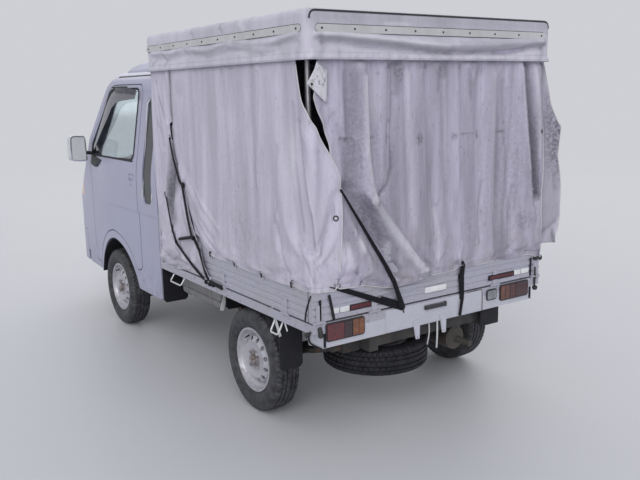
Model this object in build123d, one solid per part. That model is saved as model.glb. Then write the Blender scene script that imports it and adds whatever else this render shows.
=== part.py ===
"""A kei truck with a long cab, a drop-side load bed and a canvas cover on hoops.

Millimetres. +Z is up, the truck drives towards -Y and +X is its left side. The origin is on the
ground, midway along the truck's length and width.
"""

import math
import os

from build123d import *

# Overall dimensions
LENGTH = 3395.0
HALF_LENGTH = LENGTH / 2
HALF_WIDTH = 737.5
WHEELBASE = 1900.0
REAR_OVERHANG = 606.0
FRONT_TRACK = 1305.0
REAR_TRACK = 1300.0

# Places along the truck
FRONT_Y = -HALF_LENGTH
REAR_Y = HALF_LENGTH
REAR_AXLE_Y = REAR_Y - REAR_OVERHANG
FRONT_AXLE_Y = REAR_AXLE_Y - WHEELBASE
CAB_REAR_Y = -10.0

# Tyre 145/80R12 on a 4J rim
TYRE_RADIUS = 268.0
TYRE_HALF_WIDTH = 72.5
BEAD_RADIUS = 152.4
BEAD_HALF_WIDTH = 51.0
RIM_FLANGE_RADIUS = 166.0
WHEEL_OFFSET = 40.0
WHEEL_HOLES = 12
WHEEL_NUTS = 4
NUT_CIRCLE_RADIUS = 50.0
DRUM_MOUTH = -20.0
AXLE_Z = TYRE_RADIUS

# Cab
CAB_WALL = 45.0
CAB_GLASS_IN = 8.0
CAB_GLASS_OUT = 14.0
SEAM = 6.0
REAR_SEAM = 9.0
SCREEN_TOP = (-1040.0, 1722.0)
SCREEN_FOOT = (-1560.0, 1100.0)
SCREEN_BOW_RADIUS = 2600.0
NOSE_BOW_RADIUS = 5500.0

# Load bed
BED_FRONT_Y = 30.0
FLOOR_Z = 640.0
FLOOR_UNDER_Z = 612.0
RAIL_TOP_Z = 603.0
RAIL_UNDER_Z = 560.0
GATE_THICKNESS = 25.0
GATE_BOTTOM_Z = 612.0
GATE_TOP_Z = 898.0
SIDE_GATE_FRONT_Y = 64.0
SIDE_GATE_REAR_Y = 1664.0
HINGE_Z = 609.0
HINGE_OUT = 5.5
KNUCKLE_RADIUS = 5.5
HINGE_PIN_RADIUS = 2.5
HINGE_FIT = 0.05

# Canopy
HOOP_RADIUS = 12.5
HOOP_HALF_WIDTH = 688.0
HOOP_TOP_Z = 1919.0
HOOP_YS = (78.0, 575.0, 1100.0, 1625.0)
COVER_HALF_WIDTH = 747.0
COVER_FRONT_Y = 14.0
COVER_REAR_Y = 1709.0
COVER_TOP_Z = 1942.0
COVER_SKIRT_Z = 1735.0
CANVAS = 5.0
CURTAIN_HEM_Z = 757.0
CURTAIN_TOP_Z = 1890.0

# Front steering geometry
KINGPIN_FOOT = (600.0, 190.0)
KINGPIN_HEAD = (500.0, 650.0)
STEERING_ARM = 110.0

SIDES = (("left", 1), ("right", -1))


def put(view, a, b, c):
    """A point drawn at (a, b) on a view and c along the axis that the view looks along."""
    if view == "side":
        return Vector(c, a, b)
    if view == "front":
        return Vector(a, c, b)
    return Vector(a, b, c)


def outline(view, rows, at=0.0):
    """A closed face of straight runs; each row is (a, b, radius of the corner there)."""
    count = len(rows)
    corners = []
    for i, (a, b, radius) in enumerate(rows):
        before = rows[i - 1]
        after = rows[(i + 1) % count]
        to_before = Vector(before[0] - a, before[1] - b).normalized()
        to_after = Vector(after[0] - a, after[1] - b).normalized()
        corner = Vector(a, b)
        if radius == 0:
            corners.append((corner, corner, None))
            continue
        half = math.radians(to_before.get_angle(to_after)) / 2
        reach = radius / math.tan(half)
        inward = (to_before + to_after).normalized()
        middle = corner + inward * (radius / math.sin(half) - radius)
        corners.append((corner + to_before * reach, corner + to_after * reach, middle))
    edges = []
    for i, (start, end, middle) in enumerate(corners):
        if middle is not None:
            edges.append(ThreePointArc(*(put(view, p.X, p.Y, at) for p in (start, middle, end))))
        following = corners[(i + 1) % count][0]
        if (following - end).length > 1e-6:
            edges.append(Line(put(view, end.X, end.Y, at), put(view, following.X, following.Y, at)))
    return Face(Wire(edges))


def prism(view, rows, low, high):
    """An outline extruded from low to high along the axis that the view looks along."""
    along = put(view, 0, 0, high - low)
    return Solid.extrude(outline(view, rows, low), along)


def block(x0, x1, y0, y1, z0, z1):
    """A box between two corners."""
    middle = Pos((x0 + x1) / 2, (y0 + y1) / 2, (z0 + z1) / 2)
    return middle * Box(abs(x1 - x0), abs(y1 - y0), abs(z1 - z0))


def rod(start, end, radius):
    """A round bar between two points."""
    start = Vector(*start)
    end = Vector(*end)
    along = end - start
    return Plane(origin=start, z_dir=along) * Cylinder(
        radius, along.length, align=(Align.CENTER, Align.CENTER, Align.MIN)
    )


def tube_run(points, radius, bend):
    """A round bar along straight runs joined by bends of one radius."""
    path = FilletPolyline(*points, radius=bend)
    start = Plane(origin=path @ 0, z_dir=path % 0)
    return sweep(start * Circle(radius), path=path)


def spin(rows):
    """A ring turned about the X axis; each row is (place along the axis, radius)."""
    return revolve(Face(Wire.make_polygon([Vector(a, r, 0) for a, r in rows])), Axis.X)


def inset(rows, depth):
    """The rows of an outline, drawn anticlockwise, with every side moved inwards by depth."""
    count = len(rows)
    moved = []
    for i, (a, b, radius) in enumerate(rows):
        before = rows[i - 1]
        after = rows[(i + 1) % count]
        first = Vector(a - before[0], b - before[1]).normalized()
        second = Vector(after[0] - a, after[1] - b).normalized()
        turn = first.X * second.Y - first.Y * second.X
        first_in = Vector(-first.Y, first.X)
        second_in = Vector(-second.Y, second.X)
        shift = (first_in + second_in) * (depth / (1 + first_in.dot(second_in)))
        tighter = radius - depth if turn > 0 else radius + depth
        moved.append((a + shift.X, b + shift.Y, max(tighter, 4.0) if radius else 0))
    return moved


def mirrored(shape, sign):
    """The shape as drawn for the left side, or its mirror image for the right side."""
    return shape if sign > 0 else mirror(shape, about=Plane.YZ)


def both(shape):
    """A left-hand shape with its right-hand mirror image."""
    return shape + mirror(shape, about=Plane.YZ)


# Cab outlines, drawn anticlockwise as (a, b, corner radius)
CAB_SIDE = [
    (CAB_REAR_Y, 338.0, 20.0),
    (CAB_REAR_Y, 1768.0, 45.0),
    (-1000.0, 1768.0, 0.0),
    (FRONT_Y - 100.0, 1600.0, 0.0),
    (FRONT_Y - 100.0, 1300.0, 0.0),
    (-1600.0, 1085.0, 60.0),
    (FRONT_Y + 18.0, 960.0, 90.0),
    (FRONT_Y + 8.0, 338.0, 60.0),
]
CAB_FRONT_HALF = [
    (729.0, 338.0, 12.0),
    (729.0, 852.0, 0.0),
    (HALF_WIDTH, 872.0, 8.0),
    (HALF_WIDTH, 1110.0, 900.0),
    (645.0, 1682.0, 130.0),
    (560.0, 1752.0, 90.0),
]
CAB_PLAN_HALF = [
    (690.0, -1525.0, 700.0),
    (HALF_WIDTH, -820.0, 1500.0),
    (HALF_WIDTH, CAB_REAR_Y, 18.0),
]
ROOF_RISE_SIDE = [
    (CAB_REAR_Y - 6.0, 1700.0, 0.0),
    (CAB_REAR_Y - 6.0, 1835.0, 50.0),
    (-640.0, 1856.0, 500.0),
    (-1075.0, 1752.0, 120.0),
    (-1130.0, 1700.0, 0.0),
]
ROOF_RISE_FRONT_HALF = [
    (540.0, 1700.0, 0.0),
    (500.0, 1768.0, 60.0),
    (430.0, 1842.0, 110.0),
]
# Lip of the front wheel arch: front end, a point on the front arc, top, a point on the rear arc, rear end
ARCH = [(-1125.0, 330.0), (-1049.0, 500.0), (-822.0, 622.0), (-543.0, 537.0), (-372.0, 330.0)]
ARCH_LIP = 52.0

DOOR = [
    (-300.0, 478.0, 60.0),
    (-300.0, 1674.0, 75.0),
    (-905.0, 1674.0, 170.0),
    (-1300.0, 1195.0, 90.0),
    (-1300.0, 392.0, 45.0),
    (-1130.0, 380.0, 0.0),
]
DOOR_WINDOW = [
    (-372.0, 1197.0, 22.0),
    (-372.0, 1640.0, 45.0),
    (-895.0, 1640.0, 150.0),
    (-1240.0, 1225.0, 40.0),
    (-1205.0, 1172.0, 30.0),
]
QUARTER_WINDOW = [
    (-62.0, 930.0, 60.0),
    (-62.0, 1590.0, 28.0),
    (-205.0, 1590.0, 28.0),
    (-205.0, 930.0, 60.0),
]
WINDSCREEN_HALF = [(600.0, 1128.0, 60.0), (545.0, 1672.0, 70.0)]
REAR_WINDOW = [(-470.0, 1180.0, 45.0), (470.0, 1180.0, 45.0), (440.0, 1520.0, 45.0), (-440.0, 1520.0, 45.0)]


def full_width(half_rows, closing=()):
    """A whole outline from the rows of its left half, drawn upwards."""
    right = [(-a, b, radius) for a, b, radius in reversed(half_rows)]
    return half_rows + list(closing) + right


def screen_cylinder(depth):
    """A bar whose surface is the bowed windscreen, moved inwards by depth."""
    slope = Vector(0, SCREEN_FOOT[0] - SCREEN_TOP[0], SCREEN_FOOT[1] - SCREEN_TOP[1]).normalized()
    inward = Vector(0, -slope.Z, slope.Y)
    if inward.Z > 0:
        inward = inward * -1
    centre = Vector(0, *SCREEN_TOP) + inward * SCREEN_BOW_RADIUS
    bar = Cylinder(SCREEN_BOW_RADIUS - depth, 5200.0)
    return Plane(origin=centre, z_dir=slope) * bar


def nose_cylinder(depth):
    """An upright bar whose surface is the bowed front of the cab, moved inwards by depth."""
    bar = Cylinder(NOSE_BOW_RADIUS - depth, 2600.0)
    return Pos(0, FRONT_Y + NOSE_BOW_RADIUS, 1000.0) * bar


def cab_form(depth):
    """The outer form of the cab with every surface moved inwards by depth."""
    low_x = -HALF_WIDTH - 20.0
    plan = full_width([(668.0, FRONT_Y - 40.0, 0.0)] + CAB_PLAN_HALF)
    front = full_width(CAB_FRONT_HALF, [(0.0, 1768.0, 0.0)])
    body = prism("side", inset(CAB_SIDE, depth), low_x, -low_x)
    body = body & prism("front", inset(front, depth), FRONT_Y - 50.0, 40.0)
    body = body & prism("plan", inset(plan, depth), 200.0, 2000.0)
    body = body & nose_cylinder(depth) & screen_cylinder(depth)
    rise = prism("side", inset(ROOF_RISE_SIDE, depth), low_x, -low_x)
    rise_front = full_width(ROOF_RISE_FRONT_HALF)
    rise = rise & prism("front", inset(rise_front, depth), FRONT_Y - 50.0, 40.0)
    return body + (rise & screen_cylinder(depth))


def arch_face(grow, at):
    """The front wheel arch seen from the side, grown by a lip, as a face."""
    front, front_mid, top, rear_mid, rear = ARCH
    points = []
    for (y, z), (push_y, push_z) in (
        (front, (-1, 0)),
        (front_mid, (-0.8, 0.6)),
        (top, (0, 1)),
        (rear_mid, (0.6, 0.8)),
        (rear, (0.95, 0.3)),
    ):
        points.append(put("side", y + grow * push_y, z + grow * push_z, at))
    below = -200.0
    foot_front = Vector(points[0].X, points[0].Y, below)
    foot_rear = Vector(points[4].X, points[4].Y, below)
    edges = [
        ThreePointArc(points[0], points[1], points[2]),
        ThreePointArc(points[2], points[3], points[4]),
        Line(points[4], foot_rear),
        Line(foot_rear, foot_front),
        Line(foot_front, points[0]),
    ]
    return Face(Wire(edges))


def arch_prism(grow, x0, x1):
    """The space of the front wheel arch between two places across the truck."""
    return Solid.extrude(arch_face(grow, x0), Vector(x1 - x0, 0, 0))


def save(node, shape):
    """Writes one node's solids."""
    solids = shape.solids()
    result = solids[0] if len(solids) == 1 else Compound(solids)
    export_step(result, f"parts/{node}.step")


os.makedirs("parts", exist_ok=True)

outer = cab_form(0.0)
glass_outer = cab_form(CAB_GLASS_IN)
glass_inner = cab_form(CAB_GLASS_OUT)
lining = cab_form(CAB_WALL)
open_floor = block(-HALF_WIDTH + CAB_WALL, HALF_WIDTH - CAB_WALL, -1600.0, -55.0, 300.0, 420.0)
skin = outer - lining - open_floor

screen_hole = prism("front", full_width(WINDSCREEN_HALF), -1700.0, -900.0)
rear_hole = prism("front", REAR_WINDOW, -90.0, 20.0)
door_hole_left = prism("side", DOOR, 560.0, 800.0) - arch_prism(ARCH_LIP, 500.0, 820.0)
quarter_hole_left = prism("side", QUARTER_WINDOW, 560.0, 800.0)
arch_left = arch_prism(0.0, 395.0, 820.0)
under_deck = block(-HALF_WIDTH + CAB_WALL, HALF_WIDTH - CAB_WALL, -80.0, 20.0, 300.0, 620.0)

# Cab shell: roof, pillars, rear wall, corners and nose, with its openings
cab = skin - screen_hole - rear_hole - under_deck
cab = cab - both(door_hole_left) - both(quarter_hole_left) - both(arch_left)
bumper_zone = block(-800.0, 800.0, FRONT_Y - 60.0, -1540.0, 200.0, 585.0)
lamp_zone = both(block(470.0, 760.0, FRONT_Y - 30.0, -1560.0, 846.0, 1016.0))
cab = cab - bumper_zone - lamp_zone

# Pressed dishes in the nose panel and at the windscreen's foot, and drip channels over the doors
PRESSED_DEPTH = 6.0
nose_dish = prism("front", full_width([(430.0, 868.0, 26.0), (430.0, 994.0, 26.0)]), -1760.0, -1500.0)
cowl_dish = prism("front", full_width([(520.0, 1056.0, 16.0), (535.0, 1098.0, 16.0)]), -1760.0, -1500.0)
drip_channel = both(block(588.0, 597.0, -880.0, -40.0, 1690.0, 1800.0))
cab = cab - ((outer - cab_form(PRESSED_DEPTH)) & (nose_dish + cowl_dish + drip_channel))
save("headlamps", (outer - cab_form(30.0)) & lamp_zone)

glass_layer = glass_outer - glass_inner
save("cab_glass", glass_layer & (screen_hole + rear_hole + both(quarter_hole_left)))

# Front bumper, under the nose and round the corners
bumper_form = cab_form(0.0) & block(-800.0, 800.0, FRONT_Y - 60.0, -1545.0, 300.0, 580.0)
bumper_core = cab_form(30.0) & block(-800.0, 800.0, FRONT_Y - 60.0, -1500.0, 200.0, 550.0)
bumper_mouth = block(-640.0, 640.0, -1645.0, -1500.0, 300.0, 400.0)
air_intake = prism("front", full_width([(290.0, 412.0, 12.0), (310.0, 470.0, 12.0)]), -1760.0, -1600.0)
intake_bars = None
for z in (426.0, 441.0, 456.0):
    bar = block(-320.0, 320.0, FRONT_Y + 4.0, FRONT_Y + 40.0, z - 3.0, z + 3.0)
    intake_bars = bar if intake_bars is None else intake_bars + bar
bumper = bumper_form - bumper_core - bumper_mouth
bumper = (bumper - air_intake) + (bumper & intake_bars)
plate_ledge = block(-170.0, 170.0, FRONT_Y - 40.0, FRONT_Y + 3.0, 486.0, 578.0)
save("front_bumper", bumper - plate_ledge)


# Doors: full thickness with the window cut out
def door_panel():
    """The left door."""
    rows = [(y - (REAR_SEAM - SEAM if y == DOOR[0][0] else 0), z, radius) for y, z, radius in DOOR]
    zone = prism("side", inset(rows, SEAM), 560.0, 800.0)
    return (outer - lining) & (zone - arch_prism(ARCH_LIP + SEAM, 500.0, 820.0))


# Each door turns on two slim barrel hinges that lie in the seam at its front edge
DOOR_HINGE = (701.0, -1291.0)
DOOR_HINGE_ZS = (560.0, 940.0)
BARREL_RADIUS = 5.0
BARREL_HALF = 9.0
BARREL_END = 20.0
BARREL_GAP = 1.0


def door_hinge(z):
    """The shell's two barrel ends with their pin, the door's barrel, and the notch in the door for both."""
    x, y = DOOR_HINGE
    fixed = rod((x, y, z - BARREL_END), (x, y, z + BARREL_END), HINGE_PIN_RADIUS)
    for low, high in ((BARREL_HALF + BARREL_GAP, BARREL_END), (-BARREL_END, -BARREL_HALF - BARREL_GAP)):
        fixed = fixed + rod((x, y, z + low), (x, y, z + high), BARREL_RADIUS)
        fixed = fixed + block(x - 3.0, x + 3.0, DOOR[3][0] - 6.0, y, z + low, z + high)
    moving = rod((x, y, z - BARREL_HALF), (x, y, z + BARREL_HALF), BARREL_RADIUS)
    moving = moving + block(x - 3.0, x + 3.0, y, y + 16.0, z - BARREL_HALF, z + BARREL_HALF)
    moving = moving - rod((x, y, z - BARREL_END), (x, y, z + BARREL_END), HINGE_PIN_RADIUS + HINGE_FIT)
    notch = rod((x, y, z - BARREL_END - 3.0), (x, y, z + BARREL_END + 3.0), BARREL_RADIUS + 4.0)
    return fixed, moving, notch


# Outside handle: a lift flap in a shallow dish under the window, with the key button below it
HANDLE_DISH = [(-440.0, 1060.0, 14.0), (-352.0, 1060.0, 14.0), (-352.0, 1104.0, 10.0), (-440.0, 1104.0, 10.0)]
HANDLE_FLAP = [(-434.0, 1074.0, 5.0), (-358.0, 1074.0, 5.0), (-358.0, 1099.0, 5.0), (-434.0, 1099.0, 5.0)]
DISH_FLOOR_X = HALF_WIDTH - 9.0
FLAP_FACE_X = HALF_WIDTH - 1.5
KEY_BUTTON = (-405.0, 1034.0, 9.0)


def fit_handle(door):
    """The door with its handle dish, lift flap and key button."""
    y, z, radius = KEY_BUTTON
    door = door - prism("side", HANDLE_DISH, DISH_FLOOR_X, HALF_WIDTH + 5.0)
    door = door + prism("side", HANDLE_FLAP, DISH_FLOOR_X, FLAP_FACE_X)
    return door + rod((DISH_FLOOR_X, y, z), (HALF_WIDTH + 1.5, y, z), radius)


window_left = prism("side", DOOR_WINDOW, 560.0, 800.0)
left_door = fit_handle(door_panel() - window_left)
for z in DOOR_HINGE_ZS:
    fixed, moving, notch = door_hinge(z)
    cab = cab + both(fixed)
    left_door = (left_door - notch) + moving
save("cab_shell", cab)
left_glass = glass_layer & window_left
for side, sign in SIDES:
    save(f"{side}_door", mirrored(left_door, sign))
    save(f"{side}_door_glass", mirrored(left_glass, sign))

# Door mirrors: an arm from the door's front corner and a rounded housing
MIRROR_X = (764.0, 884.0)
MIRROR_Y = (-1240.0, -1168.0)
MIRROR_Z = (1136.0, 1326.0)
housing_rows = [
    (MIRROR_X[0], MIRROR_Z[0], 22.0),
    (MIRROR_X[1], MIRROR_Z[0] + 10.0, 30.0),
    (MIRROR_X[1] - 4.0, MIRROR_Z[1], 30.0),
    (MIRROR_X[0] + 6.0, MIRROR_Z[1] - 4.0, 24.0),
]
housing = prism("front", housing_rows, MIRROR_Y[0], MIRROR_Y[1])
glass_recess = prism("front", inset(housing_rows, 7.0), MIRROR_Y[1] - 8.0, MIRROR_Y[1] + 1.0)
arm_out = rod((700.0, -1215.0, 1192.0), (772.0, -1205.0, 1200.0), 13.0) - lining
arm_out = arm_out - outer
mirror_glass = prism("front", inset(housing_rows, 10.0), MIRROR_Y[1] - 8.0, MIRROR_Y[1] - 3.0)
left_mirror = (housing - glass_recess) + arm_out + mirror_glass
for side, sign in SIDES:
    save(f"{side}_mirror", mirrored(left_mirror, sign))

# Cab floor: footwell, riser, seat deck and wheel housings in one pressing
PRESSING = 12.0
FOOTWELL_Z = 432.0
DECK_Z = 700.0
RISER_Y = -1148.0
HOUSING_X = 405.0
IN_X = HALF_WIDTH - CAB_WALL
floor_side = [
    (-1632.0, FOOTWELL_Z, 0.0),
    (RISER_Y, FOOTWELL_Z, 0.0),
    (RISER_Y, DECK_Z, 0.0),
    (CAB_REAR_Y - CAB_WALL, DECK_Z, 0.0),
    (CAB_REAR_Y - CAB_WALL, DECK_Z - PRESSING, 0.0),
    (RISER_Y + PRESSING, DECK_Z - PRESSING, 0.0),
    (RISER_Y + PRESSING, FOOTWELL_Z - PRESSING, 0.0),
    (-1632.0, FOOTWELL_Z - PRESSING, 0.0),
]
housing_side = [
    (RISER_Y, 430.0, 0.0),
    (RISER_Y, DECK_Z, 0.0),
    (-478.0, DECK_Z, 0.0),
    (-360.0, 345.0, 0.0),
    (-700.0, 345.0, 0.0),
    (-700.0, 430.0, 0.0),
]
rear_guard = [
    (-478.0, DECK_Z, 0.0),
    (-466.0, DECK_Z, 0.0),
    (-348.0, 345.0, 0.0),
    (-360.0, 345.0, 0.0),
]
cab_floor = prism("side", floor_side, -IN_X, IN_X) + both(
    prism("side", housing_side, HOUSING_X - PRESSING, HOUSING_X)
    + prism("side", rear_guard, HOUSING_X - PRESSING, IN_X)
)
DOOR_SWING_GAP = 8.0
at_doors = block(-HALF_WIDTH, HALF_WIDTH, -1330.0, -290.0, 300.0, 800.0)
clear_of_doors = cab_form(CAB_WALL + DOOR_SWING_GAP)
housing_foot = block(-IN_X + DOOR_SWING_GAP, IN_X - DOOR_SWING_GAP, -1150.0, -300.0, 340.0, 400.0)
save("cab_floor", cab_floor & ((lining - at_doors) + (clear_of_doors & at_doors) + housing_foot))

# Dashboard
dash_rows = [
    (-1560.0, 760.0, 20.0),
    (-1360.0, 760.0, 20.0),
    (-1250.0, 930.0, 40.0),
    (-1290.0, 1085.0, 40.0),
    (-1560.0, 1085.0, 30.0),
]
dashboard = prism("side", dash_rows, -IN_X, IN_X) & clear_of_doors


# Seats: cushion, back and headrest for each
def seat(x):
    """One seat on the deck."""
    cushion_rows = [
        (-1010.0, DECK_Z, 10.0),
        (-420.0, DECK_Z, 10.0),
        (-420.0, DECK_Z + 120.0, 30.0),
        (-1030.0, DECK_Z + 145.0, 45.0),
    ]
    back_rows = [
        (-470.0, DECK_Z + 122.0, 20.0),
        (-330.0, DECK_Z + 100.0, 20.0),
        (-210.0, 1370.0, 40.0),
        (-310.0, 1385.0, 40.0),
    ]
    head_rows = [
        (-300.0, 1375.0, 10.0),
        (-215.0, 1365.0, 10.0),
        (-175.0, 1540.0, 35.0),
        (-270.0, 1550.0, 35.0),
    ]
    cushion = prism("side", cushion_rows, x - 235.0, x + 235.0)
    back = prism("side", back_rows, x - 225.0, x + 225.0)
    head = prism("side", head_rows, x - 125.0, x + 125.0)
    return cushion + back + head


save("seats", seat(330.0) + seat(-330.0))

# Steering wheel on the right, on a column through the dashboard
STEER_CENTRE = Vector(-330.0, -1075.0, 1080.0)
STEER_AXIS = Vector(0.0, 0.57, 0.82).normalized()
steer_plane = Plane(origin=STEER_CENTRE, z_dir=STEER_AXIS)
rim = steer_plane * Torus(178.0, 13.0)
hub = steer_plane * Pos(0, 0, -18.0) * Cylinder(48.0, 44.0)
spokes = [
    steer_plane * Rot(0, 0, turn) * Pos(100.0, 0, -4.0) * Box(150.0, 34.0, 12.0)
    for turn in (0.0, 180.0, 270.0)
]
steering_wheel = rim + hub
for spoke in spokes:
    steering_wheel = steering_wheel + spoke
save("steering_wheel", steering_wheel)
COLUMN_TOP = 43.0
COLUMN_LENGTH = 760.0
column = steer_plane * Pos(0, 0, -COLUMN_TOP - COLUMN_LENGTH / 2) * Cylinder(30.0, COLUMN_LENGTH)
column = column - block(-400.0, -260.0, -1700.0, -1400.0, 300.0, FOOTWELL_Z)
shroud = block(-372.0, -288.0, -1290.0, -1160.0, 905.0, 985.0)
save("dashboard", dashboard + shroud + column)

# Chassis: two rails that step up behind the footwell, cross members and suspension brackets
RAIL_IN_X = 335.0
RAIL_OUT_X = 385.0
REAR_RAIL_Z = (395.0, 485.0)
FRONT_RAIL_Z = (322.0, 408.0)
RAIL_FRONT_Y = -1600.0
RAIL_STEP_Y = (-1130.0, -980.0)
RAIL_REAR_Y = 1650.0
rail_rows = [
    (RAIL_FRONT_Y, FRONT_RAIL_Z[0], 0.0),
    (RAIL_STEP_Y[0], FRONT_RAIL_Z[0], 80.0),
    (RAIL_STEP_Y[1], REAR_RAIL_Z[0], 80.0),
    (RAIL_REAR_Y, REAR_RAIL_Z[0], 0.0),
    (RAIL_REAR_Y, REAR_RAIL_Z[1], 0.0),
    (RAIL_STEP_Y[1], REAR_RAIL_Z[1], 80.0),
    (RAIL_STEP_Y[0], FRONT_RAIL_Z[1], 80.0),
    (RAIL_FRONT_Y, FRONT_RAIL_Z[1], 0.0),
]
frame = both(prism("side", rail_rows, RAIL_IN_X, RAIL_OUT_X))
FRONT_MEMBER_YS = (-1580.0, -1260.0)
REAR_MEMBER_YS = (-100.0, 420.0, 850.0, 1418.0, 1625.0)
for y in FRONT_MEMBER_YS:
    frame = frame + block(-RAIL_IN_X, RAIL_IN_X, y - 20.0, y + 20.0, 340.0, 400.0)
for y in REAR_MEMBER_YS:
    frame = frame + block(-RAIL_IN_X, RAIL_IN_X, y - 20.0, y + 20.0, 415.0, 475.0)
ARM_BRACKET_Y = (-890.0, -735.0)
SPRING_X = (485.0, 535.0)
SPRING_FRONT = (650.0, 395.0)
SPRING_REAR = (1545.0, 405.0)
for side, sign in SIDES:
    frame = frame + mirrored(block(345.0, 385.0, *ARM_BRACKET_Y, 168.0, 400.0), sign)
    for y, z in (SPRING_FRONT, SPRING_REAR):
        hanger = block(RAIL_OUT_X, SPRING_X[0] - 3.0, y - 25.0, y + 25.0, z - 20.0, 480.0)
        frame = frame + mirrored(hanger, sign)

# Leaf springs: a bowed pack with an eye at each end, on pads over the axle
SPRING_THICK = 22.0
SPRING_LOW_Z = AXLE_Z + 32.0 + 8.0
EYE_RADIUS = 20.0


def bowed_band(front, low, rear, thick, x0, x1):
    """A bar bowed through three points seen from the side."""
    upper = [put("side", y, z + thick, x0) for y, z in (front, low, rear)]
    lower = [put("side", y, z, x0) for y, z in (front, low, rear)]
    edges = [
        ThreePointArc(*lower),
        Line(lower[2], upper[2]),
        ThreePointArc(upper[2], upper[1], upper[0]),
        Line(upper[0], lower[0]),
    ]
    return Solid.extrude(Face(Wire(edges)), Vector(x1 - x0, 0, 0))


spring = bowed_band(SPRING_FRONT, (REAR_AXLE_Y, SPRING_LOW_Z), SPRING_REAR, SPRING_THICK, *SPRING_X)
for y, z in (SPRING_FRONT, SPRING_REAR):
    spring = spring + rod((SPRING_X[0] - 3.0, y, z + 11.0), (SPRING_X[1], y, z + 11.0), EYE_RADIUS)
pad = block(SPRING_X[0], SPRING_X[1], REAR_AXLE_Y - 60.0, REAR_AXLE_Y + 60.0, AXLE_Z + 20.0, SPRING_LOW_Z + 6.0)

# Rear axle: tube, differential and brake plates
AXLE_TUBE_RADIUS = 32.0
AXLE_END_X = 576.0
SPIGOT_RADIUS = 20.0
axle = rod((-AXLE_END_X, REAR_AXLE_Y, AXLE_Z), (AXLE_END_X, REAR_AXLE_Y, AXLE_Z), AXLE_TUBE_RADIUS)
axle = axle + Pos(0, REAR_AXLE_Y, AXLE_Z) * Sphere(92.0)
axle = axle + rod((0, REAR_AXLE_Y - 190.0, AXLE_Z + 10.0), (0, REAR_AXLE_Y, AXLE_Z), 45.0)
for side, sign in SIDES:
    plate = rod((AXLE_END_X + 42.0, REAR_AXLE_Y, AXLE_Z), (AXLE_END_X + 48.0, REAR_AXLE_Y, AXLE_Z), 104.0)
    spigot = rod((AXLE_END_X, REAR_AXLE_Y, AXLE_Z), (AXLE_END_X + 62.0, REAR_AXLE_Y, AXLE_Z), SPIGOT_RADIUS)
    axle = axle + mirrored(plate + spigot + pad + spring, sign)
save("rear_axle", axle)

# Drive line and engine, the engine as one block at its real place under the seats
ENGINE = (-190.0, 190.0, -640.0, -170.0, 330.0, 640.0)
save("engine", block(*ENGINE))
shaft = rod((0, ENGINE[3], 385.0), (0, REAR_AXLE_Y - 190.0, AXLE_Z + 12.0), 24.0)
save("propeller_shaft", shaft - block(-60.0, 60.0, ENGINE[3] - 60.0, ENGINE[3], 300.0, 460.0) - axle)

# Exhaust: pipe, silencer and tailpipe
pipe = tube_run(
    [(-150.0, -167.0, 370.0), (-150.0, 60.0, 362.0), (-255.0, 260.0, 345.0), (-255.0, 1300.0, 350.0)],
    18.0,
    60.0,
)
silencer = rod((-225.0, 1270.0, 330.0), (-225.0, 1590.0, 330.0), 62.0)
tail = rod((-240.0, 1585.0, 320.0), (-260.0, 1668.0, 312.0), 17.0)
save("exhaust", pipe + silencer + tail)

# Fuel tank on the left, under the bed: two pressed halves welded at a flange, in two steel straps
TANK = (405.0, 640.0, 104.0, 606.0, 408.0, 546.0)
TANK_ROUND = 22.0
TANK_FLANGE = (6.0, 452.0, 456.0)
TANK_STRAP_YS = (190.0, 500.0)
TANK_STRAP = (15.0, 3.0)
x0, x1, y0, y1, z0, z1 = TANK
tank = fillet(block(*TANK).edges(), TANK_ROUND)
lip, flange_low, flange_high = TANK_FLANGE
tank = tank + block(x0 - lip, x1 + lip, y0 - lip, y1 + lip, flange_low, flange_high)
half_strap, thick = TANK_STRAP
for y in TANK_STRAP_YS:
    loop = block(x0 - thick, x1 + thick, y - half_strap, y + half_strap, z0 - thick, z1 + thick)
    loop = fillet(loop.edges().filter_by(Axis.Y), TANK_ROUND)
    tank = tank + loop + block(RAIL_OUT_X, x0, y - half_strap, y + half_strap, 462.0, 484.0)
save("fuel_tank", tank)


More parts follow.
